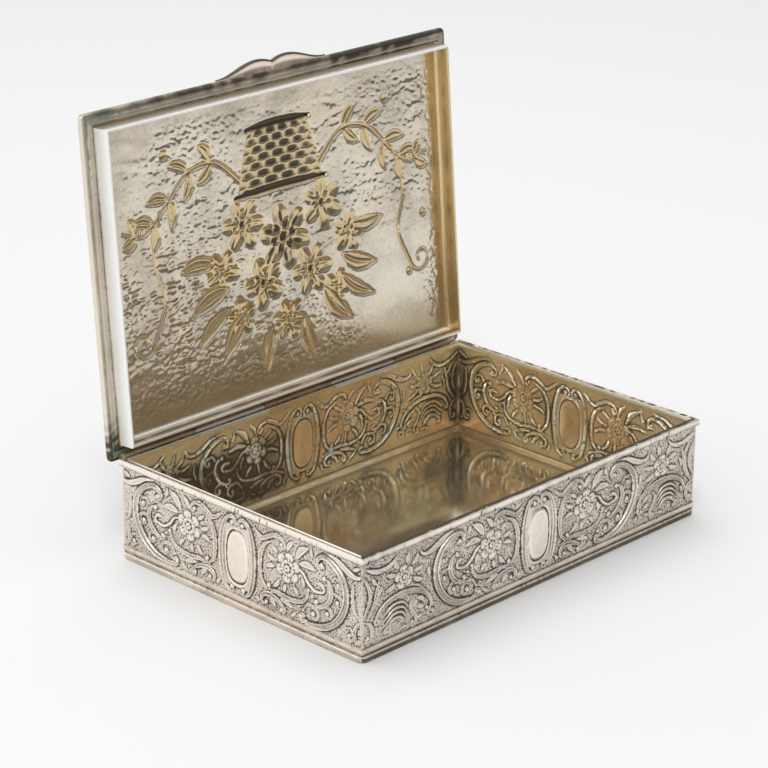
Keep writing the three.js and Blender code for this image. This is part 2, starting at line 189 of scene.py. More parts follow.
lamp("soft_box", place=(100, 250, 1100), size=900, watts=3.6)
lamp("key_light", place=(-430, -340, 1000), size=150, watts=1.8)

# Base plate: the gilt floor of the box, a sheet that hand work has left a little uneven.
# It carries the walls, and its polished top mirrors them.
SIDES = ("front", "right", "back", "left")
half_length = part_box("rim_right")[1].x / MM
half_depth = -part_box("rim_front")[0].y / MM
rim_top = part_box("rim_front")[1].z / MM
plate_x, plate_y, floor_top = (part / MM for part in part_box("base_plate")[1])


def loft(name, rings, body, node, material, layers, sharp=40):
    """A closed mesh from rings[k, j] in millimetres: k goes round the section and j along the piece.
    Four-sided faces join each point to its neighbours, and one face closes each end."""
    around, along = rings.shape[:2]
    number = np.arange(around * along).reshape(around, along)
    ahead = np.roll(number, -1, axis=0)
    quads = np.stack([number[:, :-1], number[:, 1:], ahead[:, 1:], ahead[:, :-1]], -1)
    corners = np.concatenate([quads.ravel(), number[:, 0], number[::-1, -1]]).astype(np.int32)
    sizes = np.array([4] * (quads.size // 4) + [around, around])
    mesh = bpy.data.meshes.new(name)
    mesh.vertices.add(number.size)
    mesh.vertices.foreach_set("co", (rings * MM).astype(np.float32).ravel())
    mesh.loops.add(len(corners))
    mesh.loops.foreach_set("vertex_index", corners)
    mesh.polygons.add(len(sizes))
    mesh.polygons.foreach_set("loop_start", (np.cumsum(sizes) - sizes).astype(np.int32))
    mesh.update(calc_edges=True)
    mesh.validate()
    for shade, values in layers.items():
        points = mesh.attributes.new(shade, "FLOAT", "POINT")
        points.data.foreach_set("value", np.broadcast_to(values, number.shape).astype(np.float32).ravel())
    mesh.shade_smooth()
    mesh.set_sharp_from_angle(angle=np.radians(sharp))
    mesh.materials.append(material)
    piece = bpy.data.objects.new(name, mesh)
    scene.collection.objects.link(piece)
    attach(piece, body)
    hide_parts(node)


def backed(values):
    """Values for the face of a slab, and zeros for the two rows of points on its back."""
    return np.pad(values, ((0, 2), (0, 0)))


def near(values, centre, reach):
    """A bell curve of the values about a centre."""
    return np.exp(-(((values - centre) / reach) ** 2))


def wavy(first, second, size):
    """A gentle unevenness: the sum of three crossed sine waves a few centimetres long, up to size."""
    waves = np.sin(first / 7.3 + 1.3 * np.sin(second / 11)) + np.sin(second / 8.9 - first / 23)
    return size * (waves + np.sin(first / 17 + second / 5.1)) / 3


def noise(start, scale, detail=3, distortion=0.0):
    """Cloudy noise from 0 to 1 on the piece's own place, with scale in waves per metre."""
    here = start.node("ShaderNodeTexCoord", {}, {}, "Object")
    inputs = {"Vector": here, "Scale": scale, "Detail": detail, "Distortion": distortion}
    return start.node("ShaderNodeTexNoise", {}, inputs)


def layer(start, name):
    """A value that the mesh carries at its points."""
    return start.node("ShaderNodeAttribute", {"attribute_name": name}, {}, "Fac")


def bump(start, height):
    """A fine unevenness of the surface, with its height in millimetres."""
    return start.node("ShaderNodeBump", {}, {"Height": height, "Distance": MM, "Strength": 1.0})


verdigris_green = colour(0.27, 0.36, 0.27)


def metal_finish(name, clean, stain, bright, roughness, metal, patch, warm=0.9, grain=0.02):
    """Old worked metal: clean in the open with duller clouds, dark in the hollows with stain and painted
    shade, bright on the crests with wear and painted highlights, and green with verdigris where the mesh has
    a patina.
    Patch is how much the clouds dull it, warm how much blue the warmer clouds keep, and grain the height of
    its fine unevenness in millimetres."""
    material, shader, start = shader_of(name)
    hollow = layer(start, "hollow")
    edge = layer(start, "edge")
    cloud = noise(start, scale=60, detail=4, distortion=0.5)
    tint = noise(start, scale=34, detail=2)
    speck = noise(start, scale=1100)
    warmer = colour(clean[0] * warm**0.2, clean[1] * warm**0.7, clean[2] * warm)
    tone = tint.eased(0.4, 0.64).blend(colour(*clean), warmer)
    dull = patch * (cloud.eased(0.38, 0.7) + 0.7 * speck.eased(0.5, 0.7)) * (1 - edge)
    tone = dull.blend(tone, colour(*[0.35 * part for part in clean]))
    # The stain colour serves both real stain and painted shade, and the bright colour both wear and painted
    # highlights.
    dirt_and_shade = (hollow * (0.6 + 0.5 * cloud + 0.6 * speck)).eased(0.12, 0.9)
    tone = dirt_and_shade.blend(tone, colour(*stain))
    wear_and_highlight = (edge * (0.6 + 0.8 * speck)).eased(0.2, 0.9)
    tone = wear_and_highlight.blend(tone, colour(*bright))
    body = metal - 0.3 * dirt_and_shade
    gloss = roughness + 0.18 * dirt_and_shade + 0.12 * cloud - 0.05 * wear_and_highlight
    verdigris = (noise(start, scale=520, detail=4) + layer(start, "patina")).eased(0.92, 1.12)
    tone = verdigris.blend(tone, verdigris_green)
    body = body - 0.4 * verdigris
    gloss = gloss + 0.2 * verdigris
    feed(shader, start, {
        "Base Color": tone,
        "Metallic": body,
        "Roughness": gloss,
        "Normal": bump(start, grain * speck),
    })
    return material


floor_gilt = metal_finish(
    "floor_gilt", clean=(0.8, 0.74, 0.6), stain=(0.4, 0.31, 0.19), bright=(0.8, 0.72, 0.55),
    roughness=0.05, metal=0.95, patch=0.3, grain=0.004,
)
floor_sway = 0.05
stain_inset = 3
stain_reach = 2.5


def floor_plate():
    """A flat slab whose top is a grid of heights: columns along the box, rows from front to back.
    A stain runs round it, as a bell curve of the distance from the edge."""
    x = np.linspace(-plate_x, plate_x, 140)
    y = np.linspace(-plate_y, plate_y, 96)
    across, deep = np.meshgrid(x, y)
    top = np.stack([across, deep, floor_top - floor_sway + wavy(across, deep, floor_sway)], -1)
    under = np.stack([across[[-1, 0]], deep[[-1, 0]], np.zeros((2, len(x)))], -1)
    edge_distance = np.minimum(plate_x - np.abs(across), plate_y - np.abs(deep))
    layers = {"hollow": backed(0.8 * near(edge_distance, stain_inset, stain_reach)), "edge": 0}
    loft("floor_sheet", np.concatenate([top, under]), "box", "base_plate", floor_gilt, layers)


floor_plate()


# Base mouldings: drawn silver strips of a flange, a groove and a round bead, soldered round the foot of
# the walls. The four lengths meet in mitres, and the flange is rounded off at the corners.
strip_sway = 0.03
side_shift = 31
corner_steps = 6


def place(side, s, out, z):
    """Points on one side of the box: s to the right seen from outside, out beyond the rim's face, z up."""
    s, out, z = np.broadcast_arrays(s, out, z)
    turn = SIDES.index(side)
    reach = (half_depth, half_length)[turn % 2] + out
    x, y = ((s, -reach), (reach, s), (-s, reach), (-reach, -s))[turn]
    return np.stack([x, y, z], -1)


def half_run(side):
    """Half the length of a side, between the outer faces of the rim."""
    return (half_length, half_depth)[SIDES.index(side) % 2]


def strip(side, section, steps, corner=0.0):
    """Rings of a section of (out, z) points, in order round it, carried along one side of the box.
    Each end swings through 45 degrees on the corner radius of each point, and 0 gives a plain mitre."""
    out = section[:, :1]
    corner = np.broadcast_to(np.reshape(corner, (-1, 1)), out.shape)
    run = np.linspace(-1, 1, steps)
    angle = np.zeros(steps)
    if corner.any():
        swing = np.radians(np.linspace(0, 45, corner_steps + 1)[1:])
        run = np.concatenate([np.full(corner_steps, -1), run, np.full(corner_steps, 1)])
        angle = np.concatenate([-swing[::-1], angle, swing])
    s = run * (half_run(side) + out - corner) + corner * np.sin(angle)
    sway = wavy(run * half_run(side) + side_shift * SIDES.index(side), 0, strip_sway) * (1 - run**8)
    return place(side, s, out - corner * (1 - np.cos(angle)) + sway, section[:, 1:])


def uneven(rings, seed, pace=3):
    """Random values from 0 to 1 along a strip, in straight runs between stops that are some rings apart."""
    count = rings.shape[1]
    stops = np.arange(0, count + pace, pace)
    return np.interp(np.arange(count), stops, np.random.default_rng(seed).uniform(0, 1, len(stops)))


def smooth_curve(points, steps=8):
    """A curve through the points: each span is a cubic whose end slopes follow its neighbours."""
    p = np.asarray(points, float)
    p = np.vstack([2 * p[0] - p[1], p, 2 * p[-1] - p[-2]])
    t = np.linspace(0, 1, steps, endpoint=False)[:, None, None]
    a, b, c, d = p[:-3], p[1:-2], p[2:-1], p[3:]
    cubic = 2 * b + (c - a) * t + (2 * a - 5 * b + 4 * c - d) * t**2 + (3 * b - a - 3 * c + d) * t**3
    return np.vstack([cubic.transpose(1, 0, 2).reshape(-1, p.shape[1]) / 2, p[-2:-1]])


base_silver = metal_finish(
    "base_silver", clean=(0.8, 0.71, 0.6), stain=(0.14, 0.11, 0.08), bright=(0.97, 0.88, 0.76),
    roughness=0.3, metal=0.85, patch=0.4,
)
flange_corner = 2.4
bead_corner = 0.3
base_flange = np.array([
    (-1.1, 0.0), (-0.4, 0.0), (-0.15, 0.12), (-0.1, 0.35), (-0.1, 0.9), (-0.13, 1.25), (-0.22, 1.5),
    (-0.4, 1.62),
])
base_groove = smooth_curve([base_flange[-1], (-0.58, 1.8), (-0.66, 2.0), (-0.6, 2.25)], 3)[1:]
base_bead = smooth_curve([
    base_groove[-1], (-0.42, 2.6), (-0.36, 3.2), (-0.46, 3.8), (-0.7, 4.15), (-1.1, 4.25),
], 4)[1:]
base_section = np.vstack([base_flange, base_groove, base_bead])
out, height = base_section[:, :1], base_section[:, 1:]
base_corner = np.where(height < 1.8, flange_corner + out, bead_corner)
# Painted shade darkens the groove and the foot against the table, the joint with the wall is dark, and
# painted highlights run along the upper round of the flange and along the bead.
base_shade_and_joints = near(height, 2.0, 0.25) + near(height, 4.3, 0.3) + near(height, 0.0, 0.2)
base_highlight = near(height, 1.5, 0.16) + 0.7 * near(height, 3.3, 0.4)
base_specks = near(height, 1.8, 0.5) + near(height, 4.0, 0.4)
# The flange is darker on some sides than on others: most on the front, less on the right and back, and not at
# all on the left.
for turn, (side, darkening) in enumerate(zip(SIDES, (1.0, 0.5, 0.5, 0.0))):
    rings = strip(side, base_section, steps=240, corner=base_corner)
    hollow = np.clip(base_shade_and_joints + darkening * near(height, 0.8, 0.5), 0, 1)
    hollow = hollow * (0.35 + 0.5 * darkening + 0.5 * uneven(rings, seed=turn))
    hollow = hollow + base_specks * uneven(rings, seed=80 + turn, pace=1) ** 12
    edge = base_highlight * (0.5 + 0.6 * uneven(rings, seed=4 + turn))
    layers = {"hollow": np.clip(hollow, 0, 1), "edge": np.clip(edge, 0, 1)}
    loft(f"foot_moulding_{side}", rings, "box", f"base_moulding_{side}", base_silver, layers)


# Walls: thin silver sheets worked from the back, so the outside stands out in scrolls, flowers and a framed
# oval against a ground that is matted with a punch. The gilt inside shows the same work as hollows.
wall_ground = -0.75
wall_foot = 3.9
wall_head = 28.1
wall_back = -1.2
inner_ground = -2.0
inner_depth = 0.65
finest_half = 0.36
lowered_half = 0.3


class Relief:
    """Heights over a grid of places, s along and z up, that raised work is laid on.
    On a wiry relief every band is a round line of that share of its width."""

    def __init__(self, low_s, high_s, low_z, high_z, pitch, wiry=0.0):
        self.wiry = wiry
        self.s = np.linspace(low_s, high_s, int(round((high_s - low_s) / pitch)) + 1)
        self.z = np.linspace(low_z, high_z, int(round((high_z - low_z) / pitch)) + 1)
        self.height = np.zeros((len(self.z), len(self.s)))

    def window(self, low, high):
        """The part of the grid between two corners, with its places."""
        columns = slice(*np.searchsorted(self.s, [low[0], high[0]]))
        rows = slice(*np.searchsorted(self.z, [low[1], high[1]]))
        return (rows, columns), *np.meshgrid(self.s[columns], self.z[rows])

    def disc(self, s0, z0, radius):
        """A round window: its part of the grid, with the distance as a share of the radius, and the angle."""
        part, s, z = self.window((s0 - radius, z0 - radius), (s0 + radius, z0 + radius))
        return part, np.hypot(s - s0, z - z0) / radius, np.arctan2(z - z0, s - s0)

    def lay(self, part, height):
        """Raises a part of the grid to a height, where it is lower."""
        self.height[part] = np.maximum(self.height[part], height)

    def ridge(self, path, widths, height, section):
        """Raised work along a path: section(x) across it, x from -1 to 1 over half widths spread along it.
        Work that is finer than a set half width is lower."""
        if self.wiry:
            widths = np.maximum(self.wiry * np.array(widths), finest_half)
            section = round_line
        part, s, z = self.window(path.min(0) - max(widths), path.max(0) + max(widths))
        start, way = path[:-1], np.diff(path, axis=0)
        length = np.hypot(*way.T) + 1e-9
        before = np.cumsum(length) - length
        ds = s.reshape(-1, 1) - start[:, 0]
        dz = z.reshape(-1, 1) - start[:, 1]
        share = np.clip((ds * way[:, 0] + dz * way[:, 1]) / length**2, 0, 1)
        gap = np.hypot(ds - share * way[:, 0], dz - share * way[:, 1])
        nearest = gap.argmin(1)
        row = np.arange(len(nearest))
        hand = np.sign(way[nearest, 0] * dz[row, nearest] - way[nearest, 1] * ds[row, nearest])
        along = (before[nearest] + share[row, nearest] * length[nearest]) / length.sum()
        half = np.interp(along, np.linspace(0, 1, len(widths)), widths)
        x = np.clip(hand * gap[row, nearest] / half, -1, 1)
        self.lay(part, (height * section(x) * np.minimum(1, half / lowered_half)).reshape(s.shape))

    def balls(self, places, height):
        """Round bosses at (s, z, radius), each half an ellipse in section."""
        for s0, z0, radius in places:
            part, r = self.disc(s0, z0, radius)[:2]
            self.lay(part, height * round_line(r))

    def flower(self, s0, z0, radius, petals, turn, height):
        """Two rings of cupped petals, the inner turned by half a petal, round a ringed heart.
        The edge of a ring is a rectified cosine of the angle."""
        part, r, angle = self.disc(s0, z0, radius)
        for size, tilt, lift in [(1.0, 0.0, 0.85), (0.55, np.pi / petals, 1.0)]:
            lobe = np.abs(np.cos(petals * (angle - turn - tilt) / 2))
            x = np.minimum(1, r / size / (0.66 + 0.34 * lobe**0.6))
            cup = (0.25 + 0.75 * x**4) * np.minimum(1, 6 * (1 - x))
            vein = 0.3 * near(lobe, 1, 0.06) * (r > 0.3 * size)
            crease = 1 - 0.8 * near(lobe, 0, 0.3) * (r > 0.3 * size)
            self.lay(part, height * lift * (cup + vein * (x < 0.8)) * crease)
        self.lay(part, height * round_line(np.clip((r - 0.13) / 0.08, -1, 1)))

    def leaf(self, start, end, half, height, bend=0.0, section=None):
        """A pointed leaf, bowed sideways by a share of its length, with raised edges or its own section."""
        start, end = np.array(start, float), np.array(end, float)
        way = end - start
        middle = (start + end) / 2 + bend * np.array([-way[1], way[0]])
        path = smooth_curve([start, middle, end])
        self.ridge(path, [0.06, 0.8 * half, half, 0.7 * half, 0.04], height, section or veined_band)


def round_line(x):
    """Half a circle."""
    return np.sqrt(np.maximum(0, 1 - x * x))


def veined_band(x):
    """A strip with raised edges, a hollow between them and a fine vein down its middle."""
    edges = 0.35 + 0.65 * np.abs(x) ** 1.5
    return np.maximum(edges, 0.7 * near(x, 0, 0.18)) * np.minimum(1, 4 * (1 - np.abs(x)))


def edged_band(x):
    """A flat strip between two thin raised lines."""
    return np.maximum(near(np.abs(x), 0.76, 0.2), 0.3) * np.minimum(1, 5 * (1 - np.abs(x)))


def volute(points, radius, turns, hand, steps=26):
    """A curve that ends in a scroll, turning to one hand while its radius shrinks to a quarter."""
    path = smooth_curve(points)
    way = path[-1] - path[-2]
    swept = hand * 2 * np.pi * turns / steps
    count = np.arange(steps) + 0.5
    heading = np.arctan2(way[1], way[0]) + swept * count
    stride = abs(swept) * radius * (1 - 0.75 * count / steps)
    return np.vstack([path, path[-1] + np.cumsum(stride * np.stack([np.cos(heading), np.sin(heading)]), 1).T])


oval_half_width = 4.0
oval_half_height = 7.2
oval_middle = 15.3
oval_power = 2.6
oval_ring = 1.17


def oval_of(s, z):
    """Distance from the middle of the oval plate as a share of its edge, on a squarish oval."""
    across = np.abs(s / oval_half_width) ** oval_power
    upward = np.abs((z - oval_middle) / oval_half_height) ** oval_power
    return (across + upward) ** (1 / oval_power)


def cartouche(relief):
    """The framed oval in the middle of a wall: a domed plate, a thin ring and two scrolled side bands."""
    part, s, z = relief.window((-1, 4), (9, 28))
    oval = oval_of(s, z)
    relief.lay(part, np.where(oval < 1, 0.34 + 0.3 * (1 - oval**2), 0))
    relief.lay(part, 0.5 * round_line(np.clip((oval - oval_ring) * oval_half_width / 0.25, -1, 1)))
    relief.lay(part, 0.3 * (oval > oval_ring) * (oval < 1.5) * (np.abs(z - oval_middle) < 9))
    band = [
        (2.3, 24.0), (0.9, 24.1), (0.6, 25.6), (1.9, 26.8), (3.6, 26.3), (5.1, 24.2), (6.1, 20.4),
        (6.4, 16.0), (6.0, 10.6), (4.8, 6.2), (3.1, 4.7),
    ]
    widths = [0.25, 0.5, 0.6, 0.7, 0.8, 0.9, 0.95, 0.95, 0.9, 0.7, 0.45, 0.3]
    relief.ridge(volute(band, 1.0, 0.8, -1), widths, 0.85, edged_band)
    relief.balls([(2.0, 25.1, 0.7), (2.2, 6.1, 0.75), (0.0, 23.6, 0.45)], 0.75)


def flower_scrolls(relief):
    """The six-petalled flower beside the cartouche, with the scrolls and leaves that wind round it."""
    scrolls = [
        ([(6.0, 26.6), (8.0, 25.0), (9.9, 24.2), (12.0, 25.3), (14.6, 26.5), (17.0, 26.2), (18.3, 25.0)], -1),
        ([(13.6, 24.4), (10.9, 22.9), (9.2, 19.8), (8.8, 15.8), (9.4, 12.2), (11.0, 10.3)], 1),
        ([(33.2, 20.0), (35.0, 19.2), (36.0, 16.6), (35.0, 13.7), (32.8, 11.6), (30.9, 11.1)], -1),
        ([(11.3, 5.0), (9.5, 5.6), (9.6, 7.4), (11.6, 8.4), (14.4, 8.2), (16.8, 7.2), (18.0, 6.0)], -1),
    ]
    widths = [0.15, 0.6, 0.75, 0.75, 0.65, 0.45, 0.35]
    for points, hand in scrolls:
        relief.ridge(volute(points, 1.0, 0.75, hand), widths, 0.7, edged_band)
    relief.flower(19.5, 18.4, 4.7, 6, 0.35, 0.8)
    sprays = [
        ((14.8, 19.2), (11.4, 20.4), 0.7, 0.1), ((14.6, 17.3), (10.8, 16.2), 0.7, -0.1),
        ((16.2, 14.2), (13.8, 11.2), 0.7, 0.1), ((18.6, 13.6), (18.0, 10.8), 0.65, 0.0),
        ((21.4, 13.8), (23.4, 11.4), 0.65, 0.1), ((22.6, 21.9), (27.6, 26.8), 1.2, 0.12),
        ((23.6, 21.0), (30.3, 21.0), 1.1, 0.1), ((15.8, 21.5), (13.4, 23.2), 0.65, 0.0),
        ((16.2, 8.6), (21.8, 7.2), 0.8, 0.05), ((12.4, 7.6), (14.8, 5.2), 0.8, 0.1),
        ((19.2, 23.2), (21.8, 26.8), 0.8, 0.1), ((24.6, 17.6), (25.6, 14.4), 0.6, 0.1),
        ((30.4, 17.6), (33.6, 17.2), 0.6, 0.1), ((29.0, 24.2), (28.2, 27.2), 0.6, 0.1),
        ((22.6, 6.6), (20.2, 4.8), 0.5, 0.1), ((7.2, 6.6), (8.2, 4.6), 0.6, 0.1),
    ]
    for start, end, half, bend in sprays:
        relief.leaf(start, end, half, 0.6, bend)
    tendril = [(23.2, 19.6), (25.4, 18.9), (27.3, 16.7), (29.8, 15.2), (32.3, 15.5)]
    relief.ridge(volute(tendril, 1.3, 0.5, 1), [0.2, 0.4, 0.45, 0.4, 0.3], 0.6, round_line)
    long_scroll = [
        (8.6, 8.4), (11.0, 9.3), (15.0, 10.0), (20.2, 9.6), (24.6, 10.4), (26.6, 12.2), (27.2, 14.2),
    ]
    relief.ridge(smooth_curve(long_scroll), [0.05, 0.5, 0.7, 0.7, 0.6, 0.35], 0.65, edged_band)
    relief.balls([
        (12.2, 11.2, 0.6), (17.1, 24.4, 0.6), (33.2, 19.8, 0.7), (30.3, 12.2, 0.6), (27.3, 14.6, 0.5),
        (28.9, 13.4, 0.45), (11.2, 5.9, 0.6), (17.1, 5.5, 0.6), (25.4, 8.2, 0.45), (23.9, 8.9, 0.35),
    ], 0.65)


def great_scroll(relief):
    """The large C scroll that closes the flower panel, with the curls inside it and a leaf over it."""
    great = [
        (33.0, 23.0), (31.2, 22.9), (30.9, 24.6), (32.8, 26.0), (35.6, 25.6), (38.6, 23.8), (40.8, 20.8),
        (41.5, 16.8), (40.4, 12.6), (37.6, 8.6), (33.6, 5.9), (29.0, 4.9), (25.4, 5.1),
    ]
    widths = [0.45, 0.7, 0.95, 1.1, 1.15, 1.15, 1.1, 0.95, 0.7, 0.45]
    relief.ridge(volute(great, 1.2, 0.75, -1), widths, 0.85, edged_band)
    for s0, z0, size in [(28.4, 8.1, 2.3), (33.8, 9.9, 2.0), (37.6, 14.4, 2.0), (38.0, 19.6, 1.6)]:
        hook = [(s0 - 1.3 * size, z0 + 0.2), (s0 - 0.6 * size, z0 + size), (s0 + 0.3 * size, z0 + size)]
        relief.ridge(volute(hook, 0.95 * size, 0.85, -1), [0.2, 0.5, 0.55, 0.4], 0.6, edged_band)
        relief.balls([(s0 + 0.3 * size, z0 + 0.1, 0.32 * size)], 0.6)
    ribbon = [(33.6, 27.4), (37.4, 26.9), (41.0, 25.1), (44.2, 24.0), (46.6, 24.4), (47.8, 26.0)]
    relief.ridge(smooth_curve(ribbon), [0.1, 0.5, 0.9, 0.9, 0.6, 0.1], 0.75, veined_band)
    curl = volute([(41.2, 8.4), (43.0, 8.6), (44.0, 7.2)], 1.3, 1.1, -1)
    relief.ridge(curl, [0.2, 0.45, 0.45, 0.3], 0.6, edged_band)
    relief.balls([(32.2, 23.4, 0.7), (24.6, 6.2, 0.6), (42.6, 6.6, 0.5)], 0.65)


def long_wall_end(relief):
    """The end of a long wall: a five-petalled flower over an arch of scrolls, and strapwork at the corner."""
    relief.flower(53.6, 20.0, 3.7, 5, 0.2, 0.75)
    sprays = [
        ((50.8, 22.3), (48.2, 25.6), 0.8, 0.1), ((52.6, 23.4), (51.8, 26.9), 0.8, 0.0),
        ((55.6, 22.8), (57.4, 26.2), 0.8, -0.1), ((50.3, 18.8), (45.8, 17.0), 0.8, 0.1),
        ((50.2, 20.6), (46.2, 21.3), 0.7, 0.1), ((56.8, 19.0), (61.0, 17.9), 0.8, -0.1),
        ((56.6, 21.2), (60.6, 22.3), 0.8, 0.0), ((45.6, 10.2), (48.8, 12.4), 0.75, 0.1),
        ((46.0, 8.6), (48.8, 9.6), 0.7, 0.1), ((46.4, 6.6), (48.4, 6.0), 0.65, 0.1),
        ((44.0, 20.6), (43.6, 16.4), 0.6, 0.1), ((61.6, 20.4), (63.0, 16.6), 0.6, 0.1),
        ((65.6, 23.6), (63.6, 20.6), 0.6, 0.1), ((52.2, 5.4), (55.4, 4.8), 0.5, 0.1),
    ]
    for start, end, half, bend in sprays:
        relief.leaf(start, end, half, 0.55, bend)
    arch = [
        (44.8, 7.6), (43.4, 8.2), (43.6, 10.6), (45.8, 13.0), (49.6, 14.8), (54.4, 15.4), (59.2, 14.8),
        (62.8, 12.9), (64.4, 10.6),
    ]
    widths = [0.3, 0.5, 0.7, 0.8, 0.8, 0.8, 0.7, 0.5, 0.35]
    relief.ridge(volute(arch, 1.0, 0.75, -1), widths, 0.75, edged_band)
    for count in range(4):
        fan = np.array([(51.8, 10.6), (54.2, 12.9), (58.2, 13.0), (61.6, 10.6)])
        fan = fan * (1 - 0.07 * count, 1) + (4.0 * count, -1.4 * count)
        relief.ridge(smooth_curve(fan), [0.15, 0.36, 0.36, 0.15], 0.6, round_line)
    for points, widths in [
        ([(43.4, 13.8), (45.4, 13.4), (48.4, 15.9), (52.0, 16.7)], [0.05, 0.35, 0.3, 0.05]),
        ([(62.8, 23.0), (63.8, 19.4), (64.8, 15.6), (67.4, 11.8)], [0.2, 0.7, 0.7, 0.3]),
        ([(68.6, 24.0), (66.8, 20.4), (66.7, 16.8), (68.6, 13.2)], [0.3, 0.6, 0.6, 0.3]),
    ]:
        relief.ridge(smooth_curve(points), widths, 0.65, edged_band)
    curls = [
        ([(53.6, 6.6), (56.0, 8.6), (58.8, 8.4), (60.6, 6.8)], 0.8, -1),
        ([(49.8, 13.0), (51.2, 11.2), (50.4, 8.8), (49.0, 6.8), (49.4, 5.2)], 0.9, 1),
        ([(68.4, 11.4), (66.6, 10.4), (65.6, 8.2), (66.2, 6.0)], 1.1, 1),
    ]
    for points, radius, hand in curls:
        relief.ridge(volute(points, radius, 0.75, hand), [0.2, 0.55, 0.65, 0.55, 0.35], 0.65, edged_band)
    ribbon = [(55.8, 27.4), (58.4, 25.2), (62.0, 24.4), (65.6, 25.2), (68.6, 26.8)]
    relief.ridge(smooth_curve(ribbon), [0.1, 0.6, 0.8, 0.7, 0.1], 0.75, veined_band)
    relief.balls([(44.8, 8.2, 0.5), (63.2, 10.4, 0.5), (50.4, 5.8, 0.5), (67.2, 6.6, 0.6)], 0.6)


def short_wall_end(relief):
    """The narrower corner of an end wall: an upright scroll over a shell curl."""
    upright = [(43.9, 22.0), (43.7, 18.0), (44.4, 14.0), (46.2, 12.4)]
    relief.ridge(smooth_curve(upright), [0.2, 0.6, 0.6, 0.2], 0.65, edged_band)
    shell = volute([(46.3, 11.4), (45.0, 10.0), (44.4, 7.6), (45.0, 5.8)], 0.9, 0.7, 1)
    relief.ridge(shell, [0.2, 0.6, 0.6, 0.35], 0.65, edged_band)
    relief.leaf((43.8, 25.6), (46.4, 27.0), 0.6, 0.6)


def softened(height, reach, stretch=1):
    """Heights averaged with a bell curve of the given reach, in grid steps, up and down and then along.
    Stretch is how much farther it reaches along."""
    for far in (reach, stretch * reach):
        count = int(np.ceil(3 * far))
        bell = np.exp(-0.5 * (np.arange(-count, count + 1) / far) ** 2)
        padded = np.pad(height, ((count, count), (0, 0)), mode="edge")
        height = sum(weight * padded[i:i + len(height)] for i, weight in enumerate(bell / bell.sum())).T
    return height


def cloud_of(chance, shape, reach, stretch=1):
    """Random noise softened to waves a few times the reach, with a spread of one."""
    made = softened(chance.standard_normal(shape), reach, stretch)
    return made / made.std()


def wall_relief(side, pitch, wiry=0.0):
    """The ornament of a whole wall: the right half, and its mirror image to the left of the middle."""
    end = half_run(side) + wall_ground
    relief = Relief(0, end, wall_foot, wall_head, pitch, wiry)
    cartouche(relief)
    flower_scrolls(relief)
    great_scroll(relief)
    if half_run(side) == half_length:
        long_wall_end(relief)
    else:
        short_wall_end(relief)
    s = np.concatenate([-relief.s[:0:-1], relief.s])
    height = np.hstack([relief.height[:, :0:-1], relief.height])
    edge_z = np.minimum(relief.z - wall_foot, wall_head - relief.z)
    border = np.minimum((end - np.abs(s))[None], edge_z[:, None])
    return s, relief.z, height * np.clip(border / 0.7, 0, 1)


wall_silver = metal_finish(
    "wall_silver", clean=(0.82, 0.76, 0.67), stain=(0.09, 0.083, 0.072), bright=(0.99, 0.91, 0.81),
    roughness=0.3, metal=0.85, patch=0.3,
)
wall_gilt = metal_finish(
    "wall_gilt", clean=(0.98, 0.83, 0.53), stain=(0.1, 0.07, 0.04), bright=(0.96, 0.93, 0.8),
    roughness=0.2, metal=0.75, patch=0.3, warm=0.72,
)
outer_pitch = 0.19
inner_pitch = 0.25
wire_share = 0.75
matting_spread = 0.085
matting_full = 0.15
knuckle_middle = 27.3
knuckle_half = 14
lining_edge = np.array([(0.0, -0.3), (0.3, 0.1), (0.5, -0.1)])


def outer_wall(side):
    """The outside of a wall: a slab whose face is the ornament over a matted ground, noise between two
    softenings. Stain and painted shade lie in the hollows and the pits of the matting, and what stands up is
    worn bright and carries a painted highlight."""
    s, z, height = wall_relief(side, outer_pitch)
    chance = np.random.default_rng(SIDES.index(side))
    grains = chance.standard_normal(height.shape)
    matting = softened(grains, 0.75) - softened(grains, 1.5)
    matting *= matting_spread / matting.std()
    height = softened(height, 0.45)
    plate = oval_of(s[None], z[:, None]) < 1.04
    ground = np.clip(1 - height / 0.35, 0, 1) * ~plate
    face = height + matting * ground
    face[:, [0, -1]] = 0
    front = place(side, s[None], wall_ground + face, z[:, None])
    back = place(side, s[None], wall_back, z[[-1, 0], None])
    # Stain and painted shade darken the hollows by their depth under the softened relief, and the pits of the
    # matting. The raised work and the grains of the matting are painted bright, as wear and painted
    # highlight.
    sink = softened(height, 2.0) - height
    drift = np.clip(0.5 + 0.35 * cloud_of(chance, height.shape, 16), 0, 1)
    pits = np.clip(-matting / matting_full, 0, 1) * ground
    grits = np.clip(matting / matting_full - 0.3, 0, 1) * ground
    wear_and_highlight = np.clip((height - 0.2) / 0.3, 0, 1) * np.clip(-sink / 0.06, 0, 1)
    dirt_and_shade = (sink / 0.15 * ~plate + 0.9 * pits) * (0.75 + 0.4 * drift)
    layers = {
        "hollow": backed(np.clip(dirt_and_shade, 0, 1)),
        "edge": backed(np.clip(1.5 * wear_and_highlight + 0.5 * plate + 0.65 * grits, 0, 1)),
        "patina": backed(0.36 * ground * np.clip(1.6 - 3 * drift, 0, 1)),
    }
    rings = np.concatenate([front, back])
    loft(f"{side}_ornament", rings, "box", f"{side}_wall", wall_silver, layers, sharp=60)


